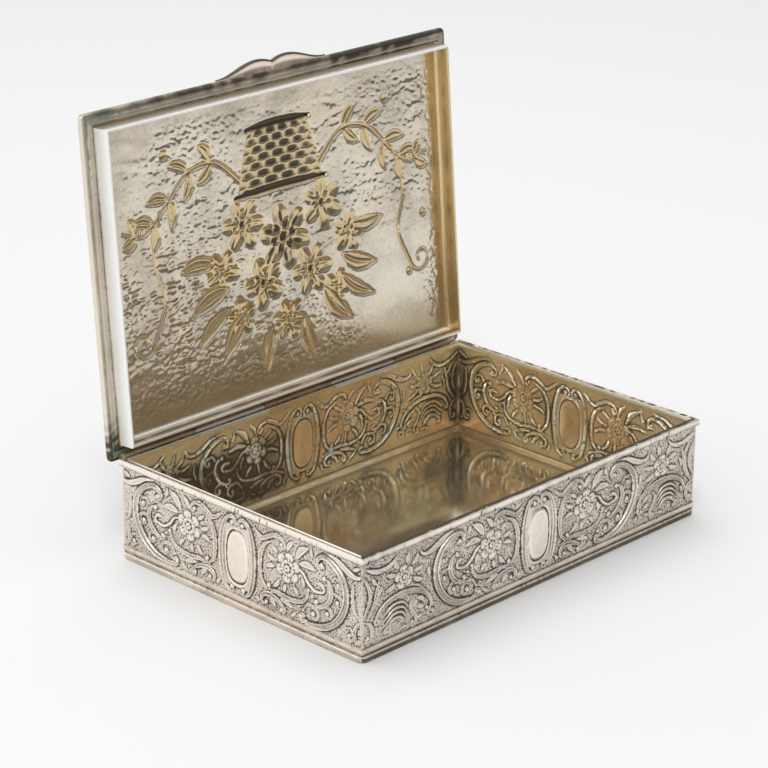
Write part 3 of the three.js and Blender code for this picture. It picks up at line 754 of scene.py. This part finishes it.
def inner_wall(side):
    """The inside of a wall: a sheet from floor to rim, grooved along the lines that stand out outside, with
    the oval dished and the top edge bevelled. Painted shade lies beside the grooves, which are pale with worn
    gilding and a painted highlight, and verdigris lies in spots on them."""
    s, z, height = wall_relief(side, inner_pitch, wire_share)
    plate = 1 - oval_of(s[None], z[:, None])
    groove = softened(np.clip(height / 0.6, 0, 1) * (plate < 0), 0.6)
    chance = np.random.default_rng(10 + SIDES.index(side))
    spots = np.clip(cloud_of(chance, height.shape, 1.3) - 0.3, 0, 1) * groove
    line_strength = np.clip(0.8 + 0.3 * cloud_of(chance, height.shape, 9), 0.35, 1)
    groove = groove * (0.5 + 0.5 * line_strength)
    # Painted shade: a dark outline beside each groove.
    shade = np.clip(softened(groove, 1.8) - groove, 0, 1) * (plate < 0)
    z = np.concatenate([[floor_top], z, rim_top + lining_edge[:, 1]])[:, None]
    rows = ((1, 3), (0, 0))
    t = s / np.abs(s).max()
    s = t * (half_run(side) + inner_ground)
    dish = np.clip(1 - (1 - plate) ** 2, 0, 1) ** 0.8
    depth = np.pad(inner_depth * np.maximum(groove, dish), rows)
    depth[-3:] = lining_edge[:, :1]
    sway = wavy(s[None] + 50 * SIDES.index(side), z * 3, 0.05) * (1 - t**8)
    front = place(side, s[None], inner_ground + depth + sway, z)[::-1]
    back_z = np.array([[floor_top], [rim_top - 0.15]])
    back = place(side, t[None] * (half_run(side) + wall_back), wall_back - 0.02, back_z)
    # Darker near the inside corners, towards the bottom of the wall, and over the left part of the back wall.
    corner_near = near(half_run(side) + inner_ground - np.abs(s), 0, 5)
    darkening = 0.15 + 0.5 * (side == "back") * np.clip((s + 10) / 30, 0, 1)
    low = np.clip((25 - z) / 6, 0, 1) * darkening * (np.pad(plate, rows) < 0)
    hollow = np.pad(3.5 * shade + 0.3 * np.clip(plate, 0, 1), rows) + 0.4 * corner_near + low
    hollow[-3:] = 0.8 * (side == "front")
    # The grooves are pale, as worn gilding and a painted highlight. The top edge carries a painted highlight,
    # except on the front, and on the back only by the box's knuckles.
    edge = np.pad(groove * line_strength, rows) * (1 - 0.7 * corner_near)
    knuckles = np.clip(knuckle_half - np.abs(np.abs(s) - knuckle_middle), 0, 1)
    edge[-3:] = {"front": 0, "back": knuckles}.get(side, 1)
    patina = np.pad(spots, rows) + 0.45 * corner_near * (near(z, floor_top, 5) + near(z, rim_top, 4))
    layers = {"hollow": np.clip(hollow, 0, 1), "edge": np.clip(edge, 0, 1), "patina": patina}
    layers = {name: np.pad(values[::-1], ((2, 0), (0, 0))) for name, values in layers.items()}
    layers["hollow"][1] = 1
    rings = np.concatenate([back, front])
    loft(f"{side}_lining", rings, "box", f"{side}_wall", wall_gilt, layers, sharp=60)


for side in SIDES:
    outer_wall(side)
    inner_wall(side)

# Beads: fillets of solder along the edges of the floor and up the inside corners, gilt with the rest.
# They hide the joints of the sheets, and carry painted highlights along their length.
bead_gilt = metal_finish(
    "bead_gilt", clean=(0.6, 0.48, 0.28), stain=(0.24, 0.16, 0.08), bright=(0.92, 0.86, 0.72),
    roughness=0.24, metal=0.8, patch=0.4,
)
bead_wall = inner_ground - 0.06
bead_curve = smooth_curve([(0, 1.5), (-0.45, 0.95), (-1.1, 0.5), (-1.8, 0)], 4)
bead_section = np.vstack([[(0, 0)], bead_curve]) + (bead_wall, floor_top)
bead_share = np.linspace(0, 1, len(bead_curve))
bead_hollow = np.concatenate([[0], near(bead_share, 0, 0.25)])[:, None]
bead_highlight = np.concatenate([[0], near(bead_share, 0.6, 0.12)])[:, None]
# A painted highlight runs along the round of each floor bead, dim on the right.
for turn, (side, shine) in enumerate(zip(SIDES, (0.8, 0.2, 0.8, 0.8))):
    rings = strip(side, bead_section, steps=160)
    layers = {"hollow": bead_hollow, "edge": bead_highlight * uneven(rings, seed=turn) * shine}
    loft(f"floor_fillet_{side}", rings, "box", f"floor_bead_{side}", bead_gilt, layers)

corner_gilt = metal_finish(
    "corner_gilt", clean=(0.56, 0.46, 0.3), stain=(0.14, 0.1, 0.06), bright=(0.8, 0.74, 0.6),
    roughness=0.36, metal=0.7, patch=0.5, warm=0.6,
)
corner_size = 0.9


def corner_fillet(name, x_hand, y_hand):
    """A hollow fillet up an inside corner: a quarter curve between the walls, uneven along its height."""
    low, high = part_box(f"corner_bead_{name}")
    z = np.linspace(low.z / MM, high.z / MM, 40)
    bow = np.array([(0, 0), (0, 1), (0.12, 0.62), (0.28, 0.4), (0.4, 0.28), (0.62, 0.12), (1, 0)])
    size = corner_size * (1 + 0.25 * np.sin(z / 1.9 + x_hand) + 0.2 * np.sin(z * 1.3))
    size[[0, -1]] *= 0.7
    x = x_hand * (half_length + bead_wall - bow[:, :1] * size)
    y = y_hand * (half_depth + bead_wall - bow[:, 1:] * size)
    rings = np.stack(np.broadcast_arrays(x, y, z), -1)
    if x_hand * y_hand > 0:
        rings = rings[::-1]
    patchy = 0.3 + 0.7 * uneven(rings, seed=20 + x_hand + 2 * y_hand, pace=4)
    # A painted highlight runs up the middle of the fillet.
    highlight_streak = near(np.arange(len(rings)), 3.5, 1)[:, None] * (1.1 - patchy)
    ends = near(z, z[0], 4) + near(z, z[-1], 5)
    layers = {"hollow": patchy, "edge": highlight_streak, "patina": 0.45 * ends}
    loft(f"corner_fillet_{name}", rings, "box", f"corner_bead_{name}", corner_gilt, layers)


for end, y_hand in [("front", -1), ("back", 1)]:
    for hand, x_hand in [("left", -1), ("right", 1)]:
        corner_fillet(f"{end}_{hand}", x_hand, y_hand)

# Rim: square silver wire soldered round the mouth of the box, mitred at the corners and polished by use.
# A pitted seam of solder runs between it and the edge of the wall, and the back is grooved for the hinge.
rim_silver = metal_finish(
    "rim_silver", clean=(0.9, 0.83, 0.74), stain=(0.06, 0.045, 0.03), bright=(0.99, 0.92, 0.83),
    roughness=0.26, metal=0.85, patch=0.35,
)
rim_face = -0.1
rim_inner = -1.18
rim_ease = 0.28
rim_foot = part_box("rim_front")[0].z / MM
hinge = frame["joints"][0]
hinge_y, hinge_z = (part / MM for part in hinge["pos_m"][1:])
hinge_out = hinge_y - half_depth
knuckle_radius = (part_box("hinge_knuckle_1")[1].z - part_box("hinge_knuckle_1")[0].z) / MM / 2
groove_radius = knuckle_radius + 0.15


def arc(centre, radius, first, last, steps):
    """Points on a circle from one angle to another, in degrees."""
    angle = np.radians(np.linspace(first, last, steps))
    return np.stack([centre[0] + radius * np.cos(angle), centre[1] + radius * np.sin(angle)], 1)


def rim_section(side):
    """A square wire with eased edges. At the back a groove about the hinge takes its outer corner."""
    foot = [(rim_inner, rim_foot), (-0.4, rim_foot)]
    if side == "back":
        centre = (hinge_out, hinge_z)
        reach = np.sqrt(groove_radius**2 - hinge_out**2)
        low = np.degrees(np.arctan2(-reach, -hinge_out)) + 360
        high = 180 - np.degrees(np.arcsin((rim_top - hinge_z) / groove_radius))
        below = [(-0.16, rim_foot + 0.06), (rim_face, rim_foot + 0.25)]
        face = np.vstack([below, arc(centre, groove_radius, low, high, 9)])
    else:
        lower = arc((rim_face - rim_ease, rim_foot + rim_ease), rim_ease, -60, 0, 4)
        upper = arc((rim_face - rim_ease, rim_top - rim_ease), rim_ease, 0, 90, 5)
        face = np.vstack([lower, upper])
    seam = [(-0.6, rim_top), (-0.8, rim_top - 0.03), (-1.0, rim_top - 0.15), (rim_inner, rim_top - 0.15)]
    return np.vstack([foot, face, seam])


for turn, (side, seam) in enumerate(zip(SIDES, (1.0, 0.5, 0.4, 0.1))):
    section = rim_section(side)
    rings = strip(side, section, steps=240)
    out, height = section[:, :1], section[:, 1:] - rim_foot
    dark = seam * np.clip((-out - 0.2) / 0.3, 0, 1) * (0.3 + 1.1 * uneven(rings, seed=turn, pace=4))
    blots = 0.8 * seam * np.clip(-out / 0.6, 0, 1) * uneven(rings, seed=60 + turn, pace=2) ** 4
    flecks = np.random.default_rng(85 + turn).uniform(0, 1, rings.shape[:2]) ** 40
    # Painted shade darkens the foot of the wire, where it overhangs the wall.
    hollow = dark + near(height, 0, 0.3) + blots + flecks
    edge = 0.9 * near(out, rim_face, 0.25) * np.clip(height / 0.5, 0, 1)
    edge = edge * (1 - 0.8 * seam * uneven(rings, seed=70 + turn, pace=5)) * (1 - flecks)
    layers = {"hollow": np.clip(hollow, 0, 1), "edge": edge}
    loft(f"rim_wire_{side}", rings, "box", f"rim_{side}", rim_silver, layers)


# Hinge: five silver tubes on one wire pin. The second and fourth are soldered to the box, and the rest
# to the lid. The two on the box carry a painted highlight along their upper front.
hinge_silver = metal_finish(
    "hinge_silver", clean=(0.68, 0.56, 0.4), stain=(0.26, 0.2, 0.13), bright=(0.82, 0.72, 0.55),
    roughness=0.3, metal=0.9, patch=0.3,
)
# A lighter, less metallic copy of the hinge silver, for the painted highlight.
hinge_painted_highlight = metal_finish(
    "hinge_painted_highlight", clean=(0.68, 0.56, 0.4), stain=(0.26, 0.2, 0.13), bright=(0.99, 0.97, 0.92),
    roughness=0.22, metal=0.6, patch=0.3,
)


def turned_bar(name, node, profile, body, painted_highlight=0.0):
    """A round bar on the hinge axis, alike at both ends: radii at some distances from its end.
    Its last argument is the strength of a painted highlight along its upper front."""
    low, high = (point.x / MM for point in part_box(node))
    inset, radius = np.transpose(profile)
    x = np.concatenate([low + inset, high - inset[::-1]])
    radius = np.concatenate([radius, radius[::-1]])
    angle = np.radians(np.arange(0, 360, 12))[:, None]
    y = hinge_y - radius * np.cos(angle)
    z = hinge_z + radius * np.sin(angle)
    rings = np.stack(np.broadcast_arrays(x, y, z), -1)
    ends = 0.5 * near(np.minimum(x - low, high - x), 0, 0.25)
    edge = 0.3 + painted_highlight * near((np.degrees(angle) + 90) % 360, 105, 25) - 0.3 * ends
    finish = hinge_painted_highlight if painted_highlight else hinge_silver
    loft(name, rings, body, node, finish, {"hollow": ends, "edge": edge})


end_gap = 0.001
bevel = 0.18
tube_bore = 0.65
tube_profile = [
    (end_gap, tube_bore), (end_gap, knuckle_radius - bevel), (bevel, knuckle_radius), (1.0, knuckle_radius),
]
for number in range(1, 6):
    body, slot, painted_highlight = ("box", "silver", 1.0) if number % 2 == 0 else ("lid", "pale_silver", 0.0)
    turned_bar(f"hinge_tube_{number}", f"hinge_knuckle_{number}", tube_profile, body, painted_highlight)
pin_low, pin_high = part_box("hinge_pin")
pin_radius = (pin_high.z - pin_low.z) / MM / 2
pin_profile = [(end_gap, 0.2), (0.06, 0.8 * pin_radius), (0.25, pin_radius)]
turned_bar("hinge_wire", "hinge_pin", pin_profile, "lid")

# Lid panel: a silver sheet embossed from inside with a basket of flowers between leafy sprays, over a ground
# of chased strokes. The inside shows the picture as hollows in a bright, lightly gilt mirror.
open_angle = np.radians(hinge["range_deg"][1])
panel_inset = -2.0
lid_seat = 30.3
panel_under = lid_seat - 0.15
panel_middle = lid_seat + 1.3
panel_over = lid_seat + 1.35
panel_depth = 0.8
ground_seed = 11
outside_pitch = 0.37
inside_pitch = 0.265


def opened(points):
    """Points drawn on the shut lid, swung open about the hinge."""
    across, deep, high = points[..., 0], points[..., 1] - hinge_y, points[..., 2] - hinge_z
    cosine, sine = np.cos(open_angle), np.sin(open_angle)
    back = hinge_y + deep * cosine + high * sine
    upward = hinge_z - deep * sine + high * cosine
    return np.stack([across, back, upward], -1)


def pinched_band(x):
    """Two rounded halves with a crease between them."""
    return np.sqrt(np.maximum(0, 1 - (2 * np.abs(x) - 1) ** 2))


def blossom(relief, s0, z0, radius, petals, turn, height):
    """A full flower: two rings of domed petals, each a paraboloid with folds along it, and a domed heart."""
    part, r, angle = relief.disc(s0, z0, radius)
    step = 2 * np.pi / petals
    for size, tilt, lift in [(1.0, 0.0, 0.85), (0.6, step / 2, 1.0)]:
        fold = (angle - turn - tilt + step / 2) % step - step / 2
        along = (r * np.cos(fold) / size - 0.58) / 0.42
        across = r * np.sin(fold) / size / (0.62 * np.sin(step / 2))
        dome = np.maximum(0, 1 - along**2 - across**2)
        folds = 1 - 0.14 * (1 + np.cos(8 * across + 3 * turn))
        relief.lay(part, height * lift * dome**0.8 * folds)
        relief.lay(part, 0.3 * height * lift * np.maximum(0, 1 - (r / size / 0.85) ** 2))
    relief.lay(part, height * np.sqrt(np.maximum(0, 1 - (r / 0.18) ** 2)))


def basket(relief):
    """A round-bellied basket: woven rods in its body, with a rolled rim and foot."""
    part, s, z = relief.window((-20, -37), (20, -14))
    half = 11.5 + 5.5 * np.clip((z + 34) / 18, 0, 1) ** 0.8
    inside = np.clip((half - np.abs(s)) / 0.6, 0, 1) * (z > -34) * (z < -16)
    belly = np.sqrt(np.maximum(0, 1 - (s / (half + 0.5)) ** 2))
    course = np.floor(z / 2.4)
    across_course = 2 * (z / 2.4 - course) - 1
    over_rod = np.abs(np.sin(np.pi * (14 * s / half / 5.6 + 0.5 * (course % 2))))
    weave = np.sqrt(over_rod * np.maximum(0, 1 - across_course**2))
    relief.lay(part, inside * (0.4 + 0.3 * belly + 0.45 * weave))
    for z0, reach, half_width in [(-15.6, 18.2, 1.3), (-34.4, 12.6, 1.2)]:
        rod = smooth_curve([(-reach, z0 + 0.6), (0, z0), (reach, z0 + 0.6)])
        relief.ridge(rod, [0.5, half_width, half_width, half_width, 0.5], 1.45, round_line)


def bouquet(relief):
    """Flowers heaped over the basket, the largest in the middle, with leaves spread out behind them."""
    centre = np.array([0, 2])
    for angle, root, length, half in [
        (20, 24, 16, 3.0), (48, 22, 17, 3.2), (75, 24, 14, 2.8), (105, 24, 14, 2.8), (132, 22, 17, 3.2),
        (160, 24, 16, 3.0), (0, 27, 14, 2.6), (180, 27, 14, 2.6), (33, 26, 17, 2.4), (147, 26, 17, 2.4),
    ]:
        way = np.array([np.cos(np.radians(angle)), np.sin(np.radians(angle))])
        relief.leaf(centre + root * way, centre + (root + length) * way, half, 0.9, 0.08, pinched_band)
    for s0, z0, radius, petals, turn, height in [
        (-25, 5, 7.0, 5, 0.3, 1.0), (26, 4, 7.0, 5, 1.2, 1.0), (0, 25, 6.8, 6, 0.2, 1.0),
        (-19, 20, 6.2, 5, 0.9, 0.95), (20, 20, 6.2, 5, 0.1, 0.95), (-16, -7, 8.5, 6, 0.1, 1.2),
        (16, -7, 8.5, 6, 0.5, 1.2), (-9, 12, 8.2, 5, 0.6, 1.2), (10, 12, 8.4, 6, 0.0, 1.2),
        (0, 0, 10.5, 6, 0.3, 1.45),
    ]:
        blossom(relief, s0, z0, radius, petals, turn, height)


def spray(relief, hand):
    """A curving stem out of the basket's side, with pairs of leaves, a tendril and buds."""
    stem = smooth_curve([(15, -19), (25, -27), (36, -26), (45, -18), (53, -12), (61, -14)]) * (hand, 1)
    relief.ridge(stem, [0.9, 0.8, 0.7, 0.5, 0.3], 0.8, round_line)
    for share, length in [(0.22, 8), (0.38, 9), (0.54, 9), (0.7, 8), (0.86, 6)]:
        root = stem[int(share * len(stem))]
        way = stem[int(share * len(stem)) + 2] - root
        way = way / np.hypot(*way)
        square = np.array([-way[1], way[0]])
        for turn in (-1, 1):
            tip = root + length * (0.7 * way + 0.72 * turn * square)
            relief.leaf(root, tip, 1.9, 0.75, 0.1 * turn, pinched_band)
    tendril = np.array([(47, -17), (50, -4), (47, 8), (52, 20)]) * (hand, 1)
    relief.ridge(volute(tendril, 4.5, 1.1, -hand), [0.7, 0.6, 0.55, 0.5, 0.4], 0.65, round_line)
    buds = [(53, -13, 1.4), (51, 22, 1.3), (44, -33, 1.6), (58, 5, 1.3)]
    relief.balls([(hand * s0, z0, radius) for s0, z0, radius in buds], 0.8)


def chased_ground(relief):
    """The ground behind the picture, from clouds of noise: long soft ripples of a chasing tool along the box,
    fine grain, short dents and drifts of rough grain. Each sort fades in and out in patches of its own. The
    last two are strongest on the left, and two patches near the back corners stay smooth."""
    chance = np.random.default_rng(ground_seed)
    step = relief.s[1] - relief.s[0]

    def cloud(size, stretch):
        """A cloud of a size in millimetres, drawn out along the box."""
        return cloud_of(chance, relief.height.shape, size / step, stretch)

    left = near(relief.s, -44, 26)[None] * near(relief.z, 12, 30)[:, None]
    smooth = near(relief.s, 45, 22)[None] * near(relief.z, 30, 20)[:, None]
    smooth = smooth + near(relief.s, -64, 12)[None] * near(relief.z, 36, 16)[:, None]
    for size, stretch, height, patches in [
        (0.7, 4, 0.07, cloud(9, 1.5) + 1 - 2 * smooth),
        (0.28, 1.4, 0.1, cloud(8, 1.5) + 0.9 - 2 * smooth),
        (0.5, 2.6, 0.12, cloud(6, 1.5) - 0.4 + left - 2 * smooth),
        (0.38, 1.2, 0.22, cloud(5, 1.3) - 1.1 + 2 * left - 2 * smooth),
    ]:
        relief.height += height * np.clip(cloud(size, stretch), -1, 2) * np.clip(patches, 0, 1)


def lid_relief(pitch):
    """The whole picture of the lid as heights."""
    end_s = half_length + panel_inset
    end_z = half_depth + panel_inset
    relief = Relief(-end_s, end_s, -end_z, end_z, pitch)
    chased_ground(relief)
    spray(relief, 1)
    spray(relief, -1)
    bouquet(relief)
    basket(relief)
    border = np.minimum((end_s - np.abs(relief.s))[None], (end_z - np.abs(relief.z))[:, None])
    field = np.clip((border - 2.8) / 5, 0, 1)
    return relief.s, relief.z, relief.height * field, field


lid_silver = metal_finish(
    "lid_silver", clean=(0.62, 0.56, 0.48), stain=(0.1, 0.085, 0.065), bright=(0.78, 0.71, 0.62),
    roughness=0.3, metal=0.9, patch=0.4,
)
lid_mirror = metal_finish(
    "lid_mirror", clean=(0.8, 0.74, 0.61), stain=(0.09, 0.07, 0.045), bright=(0.68, 0.53, 0.3),
    roughness=0.14, metal=0.95, patch=0.4, grain=0.01,
)


def lid_slab(name, s, z, face, flat, hollow, edge, finish):
    """A slab of the lid from a grid of heights on one face and a flat back, swung open with the lid."""
    grid = np.stack(np.broadcast_arrays(s[None], z[:, None], face), -1)
    back = np.stack(np.broadcast_arrays(s[None], z[[-1, 0], None], flat), -1)
    rings = opened(np.concatenate([grid, back]))
    layers = {"hollow": backed(np.clip(hollow, 0, 1)), "edge": backed(np.clip(edge, 0, 1))}
    loft(name, rings, "lid", "lid_panel", finish, layers, sharp=60)


def lid_outside():
    """The outside of the lid, with the picture raised on it."""
    s, z, height, field = lid_relief(outside_pitch)
    height = softened(height, 0.5)
    sink = softened(height, 3) - height
    face = panel_over + 1.2 * height + field * wavy(s[None], z[:, None], 0.04)
    lid_slab("lid_picture", s, z, face, panel_middle + 0.005, sink / 0.25, -sink / 0.3, lid_silver)


def lid_inside():
    """The inside of the lid in two halves, with the picture as hollows. Gilding stays in the hollows, and
    their depths are tarnished where a cloth misses them. Painted shade darkens the upper edges of the
    hollows, and towards the hinge a painted reflection of the gilt box darkens and gilds the panel."""
    s, z, height, field = lid_relief(inside_pitch)
    height = softened(height, 0.7)
    # Painted shade on the upper edges of the hollows.
    upper_edge_shade = np.clip(np.gradient(height, inside_pitch, axis=0) - 0.08, 0, 1)
    depths = np.clip((height - 0.75) / 0.4, 0, 1)
    deep = np.clip(0.55 * upper_edge_shade + depths, 0, 1)
    # Towards the hinge a painted reflection of the gilt box darkens and gilds the panel, and gilding runs
    # along the right edge.
    stain = np.clip(deep + 0.55 * near(z, half_depth, 19)[:, None], 0, 1)
    gilt_side_and_reflection = np.maximum(0.9 * near(s, half_length - 4, 3)[None], 0.6 * near(z, half_depth, 22)[:, None])
    gold = np.maximum(gilt_side_and_reflection, np.clip((height - 0.1) / 0.4, 0, 1)) * (1 - deep)
    face = panel_under + panel_depth * height + field * wavy(s[None] + 9, z[:, None], 0.1)
    middle = len(s) // 2
    for name, half in [("left", np.s_[:middle + 1]), ("right", np.s_[middle:])]:
        layers = [grid[::-1, half] for grid in (face, stain, gold)]
        lid_slab(f"lid_inside_{name}", s[half], z[::-1], layers[0], panel_middle, *layers[1:], lid_mirror)


lid_outside()
lid_inside()

# Lid mouldings: drawn silver strips soldered round the panel. From below: a hollow channel, a round lip,
# a small step and a cove up to a flat border. The corners are rounded, and the back is grooved for the hinge.
lid_strip_silver = metal_finish(
    "lid_strip_silver", clean=(0.66, 0.61, 0.5), stain=(0.08, 0.068, 0.05), bright=(0.85, 0.78, 0.66),
    roughness=0.28, metal=0.75, patch=0.4,
)
lip_radius = 1.1
lip_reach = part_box("lid_moulding_right")[1].x / MM - half_length
lid_corner = 1.5


def lid_section(side):
    """From the panel outwards along the underside, round the lip and back along the top."""
    low, high = lid_seat, lid_seat + 3.4
    channel = smooth_curve([(-1.95, low), (-1.55, low), (-0.8, low + 0.4), (0.2, low + 0.35), (0.75, low)], 4)
    lip = arc((lip_reach - lip_radius, low + lip_radius), lip_radius, -70, 90, 12)
    step = [(lip_reach - lip_radius, low + 2.6)]
    cove = smooth_curve([(0.55, low + 2.65), (-0.3, low + 2.75), (-0.85, low + 3.05), (-1.0, high)], 4)
    section = np.vstack([channel, lip, step, cove, [(-1.95, high)]])
    if side == "back":
        way = section - (hinge_out, hinge_z)
        distance = np.hypot(*way.T)[:, None]
        section = (hinge_out, hinge_z) + way * np.maximum(1, groove_radius / distance)
    return section


for turn, (side, lip_dark, neck_dark, channel_dark) in enumerate([
    ("front", 1.0, 0.6, 0.6), ("right", 0.5, 0.3, 0.4), ("back", 0.3, 0.3, 0.4), ("left", 0.0, 0.7, 0.35),
]):
    section = lid_section(side)
    out, height = section[:, :1], section[:, 1:] - lid_seat
    corner = np.maximum(lid_corner + out - lip_reach, 0.15)
    rings = opened(strip(side, section, steps=160, corner=corner))
    x, z = rings[..., 0], rings[..., 2]
    under = height < 1.3
    # The underside is darker by side, most on the front, and lighter towards the left end.
    hollow = lip_dark * near(out, 1.6, 0.9) * under + neck_dark * near(out, 0.85, 0.45) * under
    hollow = hollow + (channel_dark * near(out, -0.3, 0.9) + 0.8 * near(out, -1.75, 0.3)) * (height < 1)
    hollow = hollow * (0.4 + uneven(rings, seed=30 + turn))
    hollow = hollow * (1 - 0.6 * near(x, -half_length, 60) - 0.2 * near(x, 0, 16)) + near(height, 2.5, 0.3)
    left_front = np.hypot(x + half_length, z - z.max())
    left_back = np.hypot(x + half_length, z - hinge_z)
    hollow = hollow + 0.9 * near(left_back, 0, 8) * (0.4 + uneven(rings, seed=90 + turn, pace=2))
    hollow = np.clip(hollow, 0, 1)
    # Painted highlights run along the round of the lip, and on the left along its underside. The channel is
    # lighter on the front and left.
    edge = 0.8 * near(out, lip_reach, 0.4) * (height > 1.2) + (1 - lip_dark) * near(out, 1.6, 0.3) * under
    edge = edge + 0.6 * (side in ("front", "left")) * near(out, -0.5, 0.6) * (height < 1)
    damp = 0.65 * near(left_front, 0, 30) + 0.6 * near(left_back, 0, 12)
    layers = {
        "hollow": hollow,
        "edge": np.clip(edge, 0, 1) * (1 - hollow),
        "patina": damp * near(out, 0, 1.1) * (height < 1),
    }
    loft(f"lid_strip_{side}", rings, "lid", f"lid_moulding_{side}", lid_strip_silver, layers)

# Bezel: the upright silver strip under the lid that slips inside the walls, with its free edge eased by use.
# A fillet of solder fills the angle where it meets the panel. The gilding has stayed on the right side only.
bezel_silver = metal_finish(
    "bezel_silver", clean=(0.88, 0.81, 0.68), stain=(0.2, 0.15, 0.09), bright=(0.99, 0.96, 0.88),
    roughness=0.2, metal=0.6, patch=0.4,
)
# The front and left bezels are painted near white, a painted reflection of the bright room in the polished
# silver.
bezel_painted_reflection = metal_finish(
    "bezel_painted_reflection", clean=(0.99, 0.98, 0.95), stain=(0.27, 0.22, 0.16), bright=(0.99, 0.99, 0.98),
    roughness=0.3, metal=0.2, patch=0.03, warm=1.0,
)
bezel_gilt = metal_finish(
    "bezel_gilt", clean=(0.72, 0.54, 0.28), stain=(0.28, 0.19, 0.09), bright=(0.8, 0.66, 0.42),
    roughness=0.24, metal=0.8, patch=0.3,
)
bezel_foot = lid_seat - 5.2
bezel_outer = -2.45
bezel_inner = -3.25
bezel_ease = 0.3
fillet_end = -4.5
bezel_fillet = smooth_curve([(fillet_end, -0.12), (-3.9, -0.3), (-3.45, -0.8), (bezel_inner, -1.6)], 3)
bezel_face = np.stack([np.full(6, bezel_inner), np.linspace(lid_seat - 2, bezel_foot + 0.6, 6)], 1)
bezel_section = np.vstack([
    bezel_fillet + (0, lid_seat),
    bezel_face,
    arc((bezel_inner + bezel_ease, bezel_foot + bezel_ease), bezel_ease, 180, 270, 5),
    arc((bezel_outer - bezel_ease, bezel_foot + bezel_ease), bezel_ease, 270, 360, 5),
    [(bezel_outer, lid_seat - 0.05)],
])
out, height = bezel_section[:, :1], bezel_section[:, 1:] - bezel_foot
inward = out < bezel_inner + 0.01
# Painted highlights run along the free edge and on the fillet above the inward face.
bezel_highlight = np.clip(1 - height / 0.7, 0, 1) + 0.9 * near(out, -3.6, 0.3) * inward
for turn, (side, inner_dark, outer_dark, finish) in enumerate([
    ("front", 0.0, 1.5, bezel_painted_reflection), ("right", 0.45, 0.5, bezel_gilt),
    ("back", 1.1, 0.5, bezel_silver), ("left", 0.0, 0.0, bezel_painted_reflection),
]):
    rings = opened(strip(side, bezel_section, steps=80))
    # Painted shade darkens the joint of the fillet and the panel. A darker band crosses the inward face,
    # strongest at the back, and a dark line runs along the outer face.
    hollow = 0.9 * near(out, fillet_end, 0.25) + inner_dark * inward * near(height, 2.2, 1.1)
    hollow = hollow + outer_dark * near(out, bezel_outer, 0.1)
    right_back = np.hypot(rings[..., 0] - half_length + 3, rings[..., 2] - hinge_z)
    layers = {
        "hollow": hollow * (0.4 + 0.9 * uneven(rings, seed=50 + turn)),
        "edge": np.clip(bezel_highlight, 0, 1),
        "patina": 0.6 * near(right_back, 0, 5),
    }
    loft(f"lid_flange_{side}", rings, "lid", f"lid_bezel_{side}", finish, layers)

# Thumbpiece: a small cast plate with two dished lobes, soldered to the middle of the lid's front lip to lift
# it by. A painted highlight keeps the lobes bright, and painted shade darkens the outline and the underside
# by the lip.
thumb_silver = metal_finish(
    "thumb_silver", clean=(0.8, 0.67, 0.56), stain=(0.1, 0.08, 0.06), bright=(0.96, 0.84, 0.72),
    roughness=0.24, metal=0.7, patch=0.4,
)
thumb_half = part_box("thumbpiece")[1].x / MM
thumb_lobe = 5.7
thumb_rise = 3.2
thumb_notch = 1.2
thumb_tail = 0.4
thumb_thickness = 1.4


def thumb_outline(x):
    """How far the plate stands out: two lobes with a notch between them, and tails of half a cosine wave."""
    across = np.abs(x)
    lobes = thumb_tail + thumb_rise - thumb_notch * (1 - across / thumb_lobe) ** 2
    beyond = (across - thumb_lobe) / (thumb_half - thumb_lobe)
    tails = thumb_tail + thumb_rise / 2 * (1 + np.cos(np.pi * beyond))
    return np.where(across < thumb_lobe, lobes, tails)


def thumbpiece():
    """A plate carried along the lip: its section runs out under the plate, round its edge and back over it.
    The underside is dished by a sine across the plate, in each lobe."""
    x = np.linspace(-thumb_half, thumb_half, 160)
    reach = thumb_outline(x)
    share = np.linspace(0, 1, 8)[:, None]
    angle = np.radians(np.linspace(-90, 90, 9))[1:-1, None]
    thick = thumb_thickness / 2 * (0.55 + 0.45 * np.clip((thumb_half - np.abs(x)) / 8, 0, 1))
    tip = np.minimum(0.4, 0.5 * reach)
    middle = lid_seat + lip_radius
    flat_out = lip_reach - 0.3 + share * (reach - tip + 0.3)
    dish = 0.35 * np.sin(np.pi * share) * np.clip(reach / 3, 0, 1) * np.clip(np.abs(x) / 1.5, 0.1, 1)
    out = np.concatenate([flat_out, lip_reach + reach - tip + tip * np.cos(angle), flat_out[::-1]])
    z = np.concatenate([middle - thick + dish, middle + thick * np.sin(angle), middle + thick + 0 * flat_out])
    rings = opened(place("front", x[None] + 0 * out, out, z))
    # Painted shade on the underside by the lip, uneven along it.
    lip_shade = 0.4 * near(share, 0.05, 0.3) * (0.6 + 0.7 * np.sin(0.9 * x + 2 * np.sin(0.37 * x)) ** 2)
    shadow = np.concatenate([lip_shade + near(share, 1, 0.05), 0.9 + 0 * x * angle, 0.3 + 0 * x * share])
    shine = np.concatenate([near(share, 0.65, 0.25), 0 * angle, 0.3 + 0 * share])
    layers = {"hollow": np.clip(shadow, 0, 1), "edge": shine * np.clip(reach / 3, 0, 1)}
    loft("thumb_plate", rings, "lid", "thumbpiece", thumb_silver, layers)


thumbpiece()
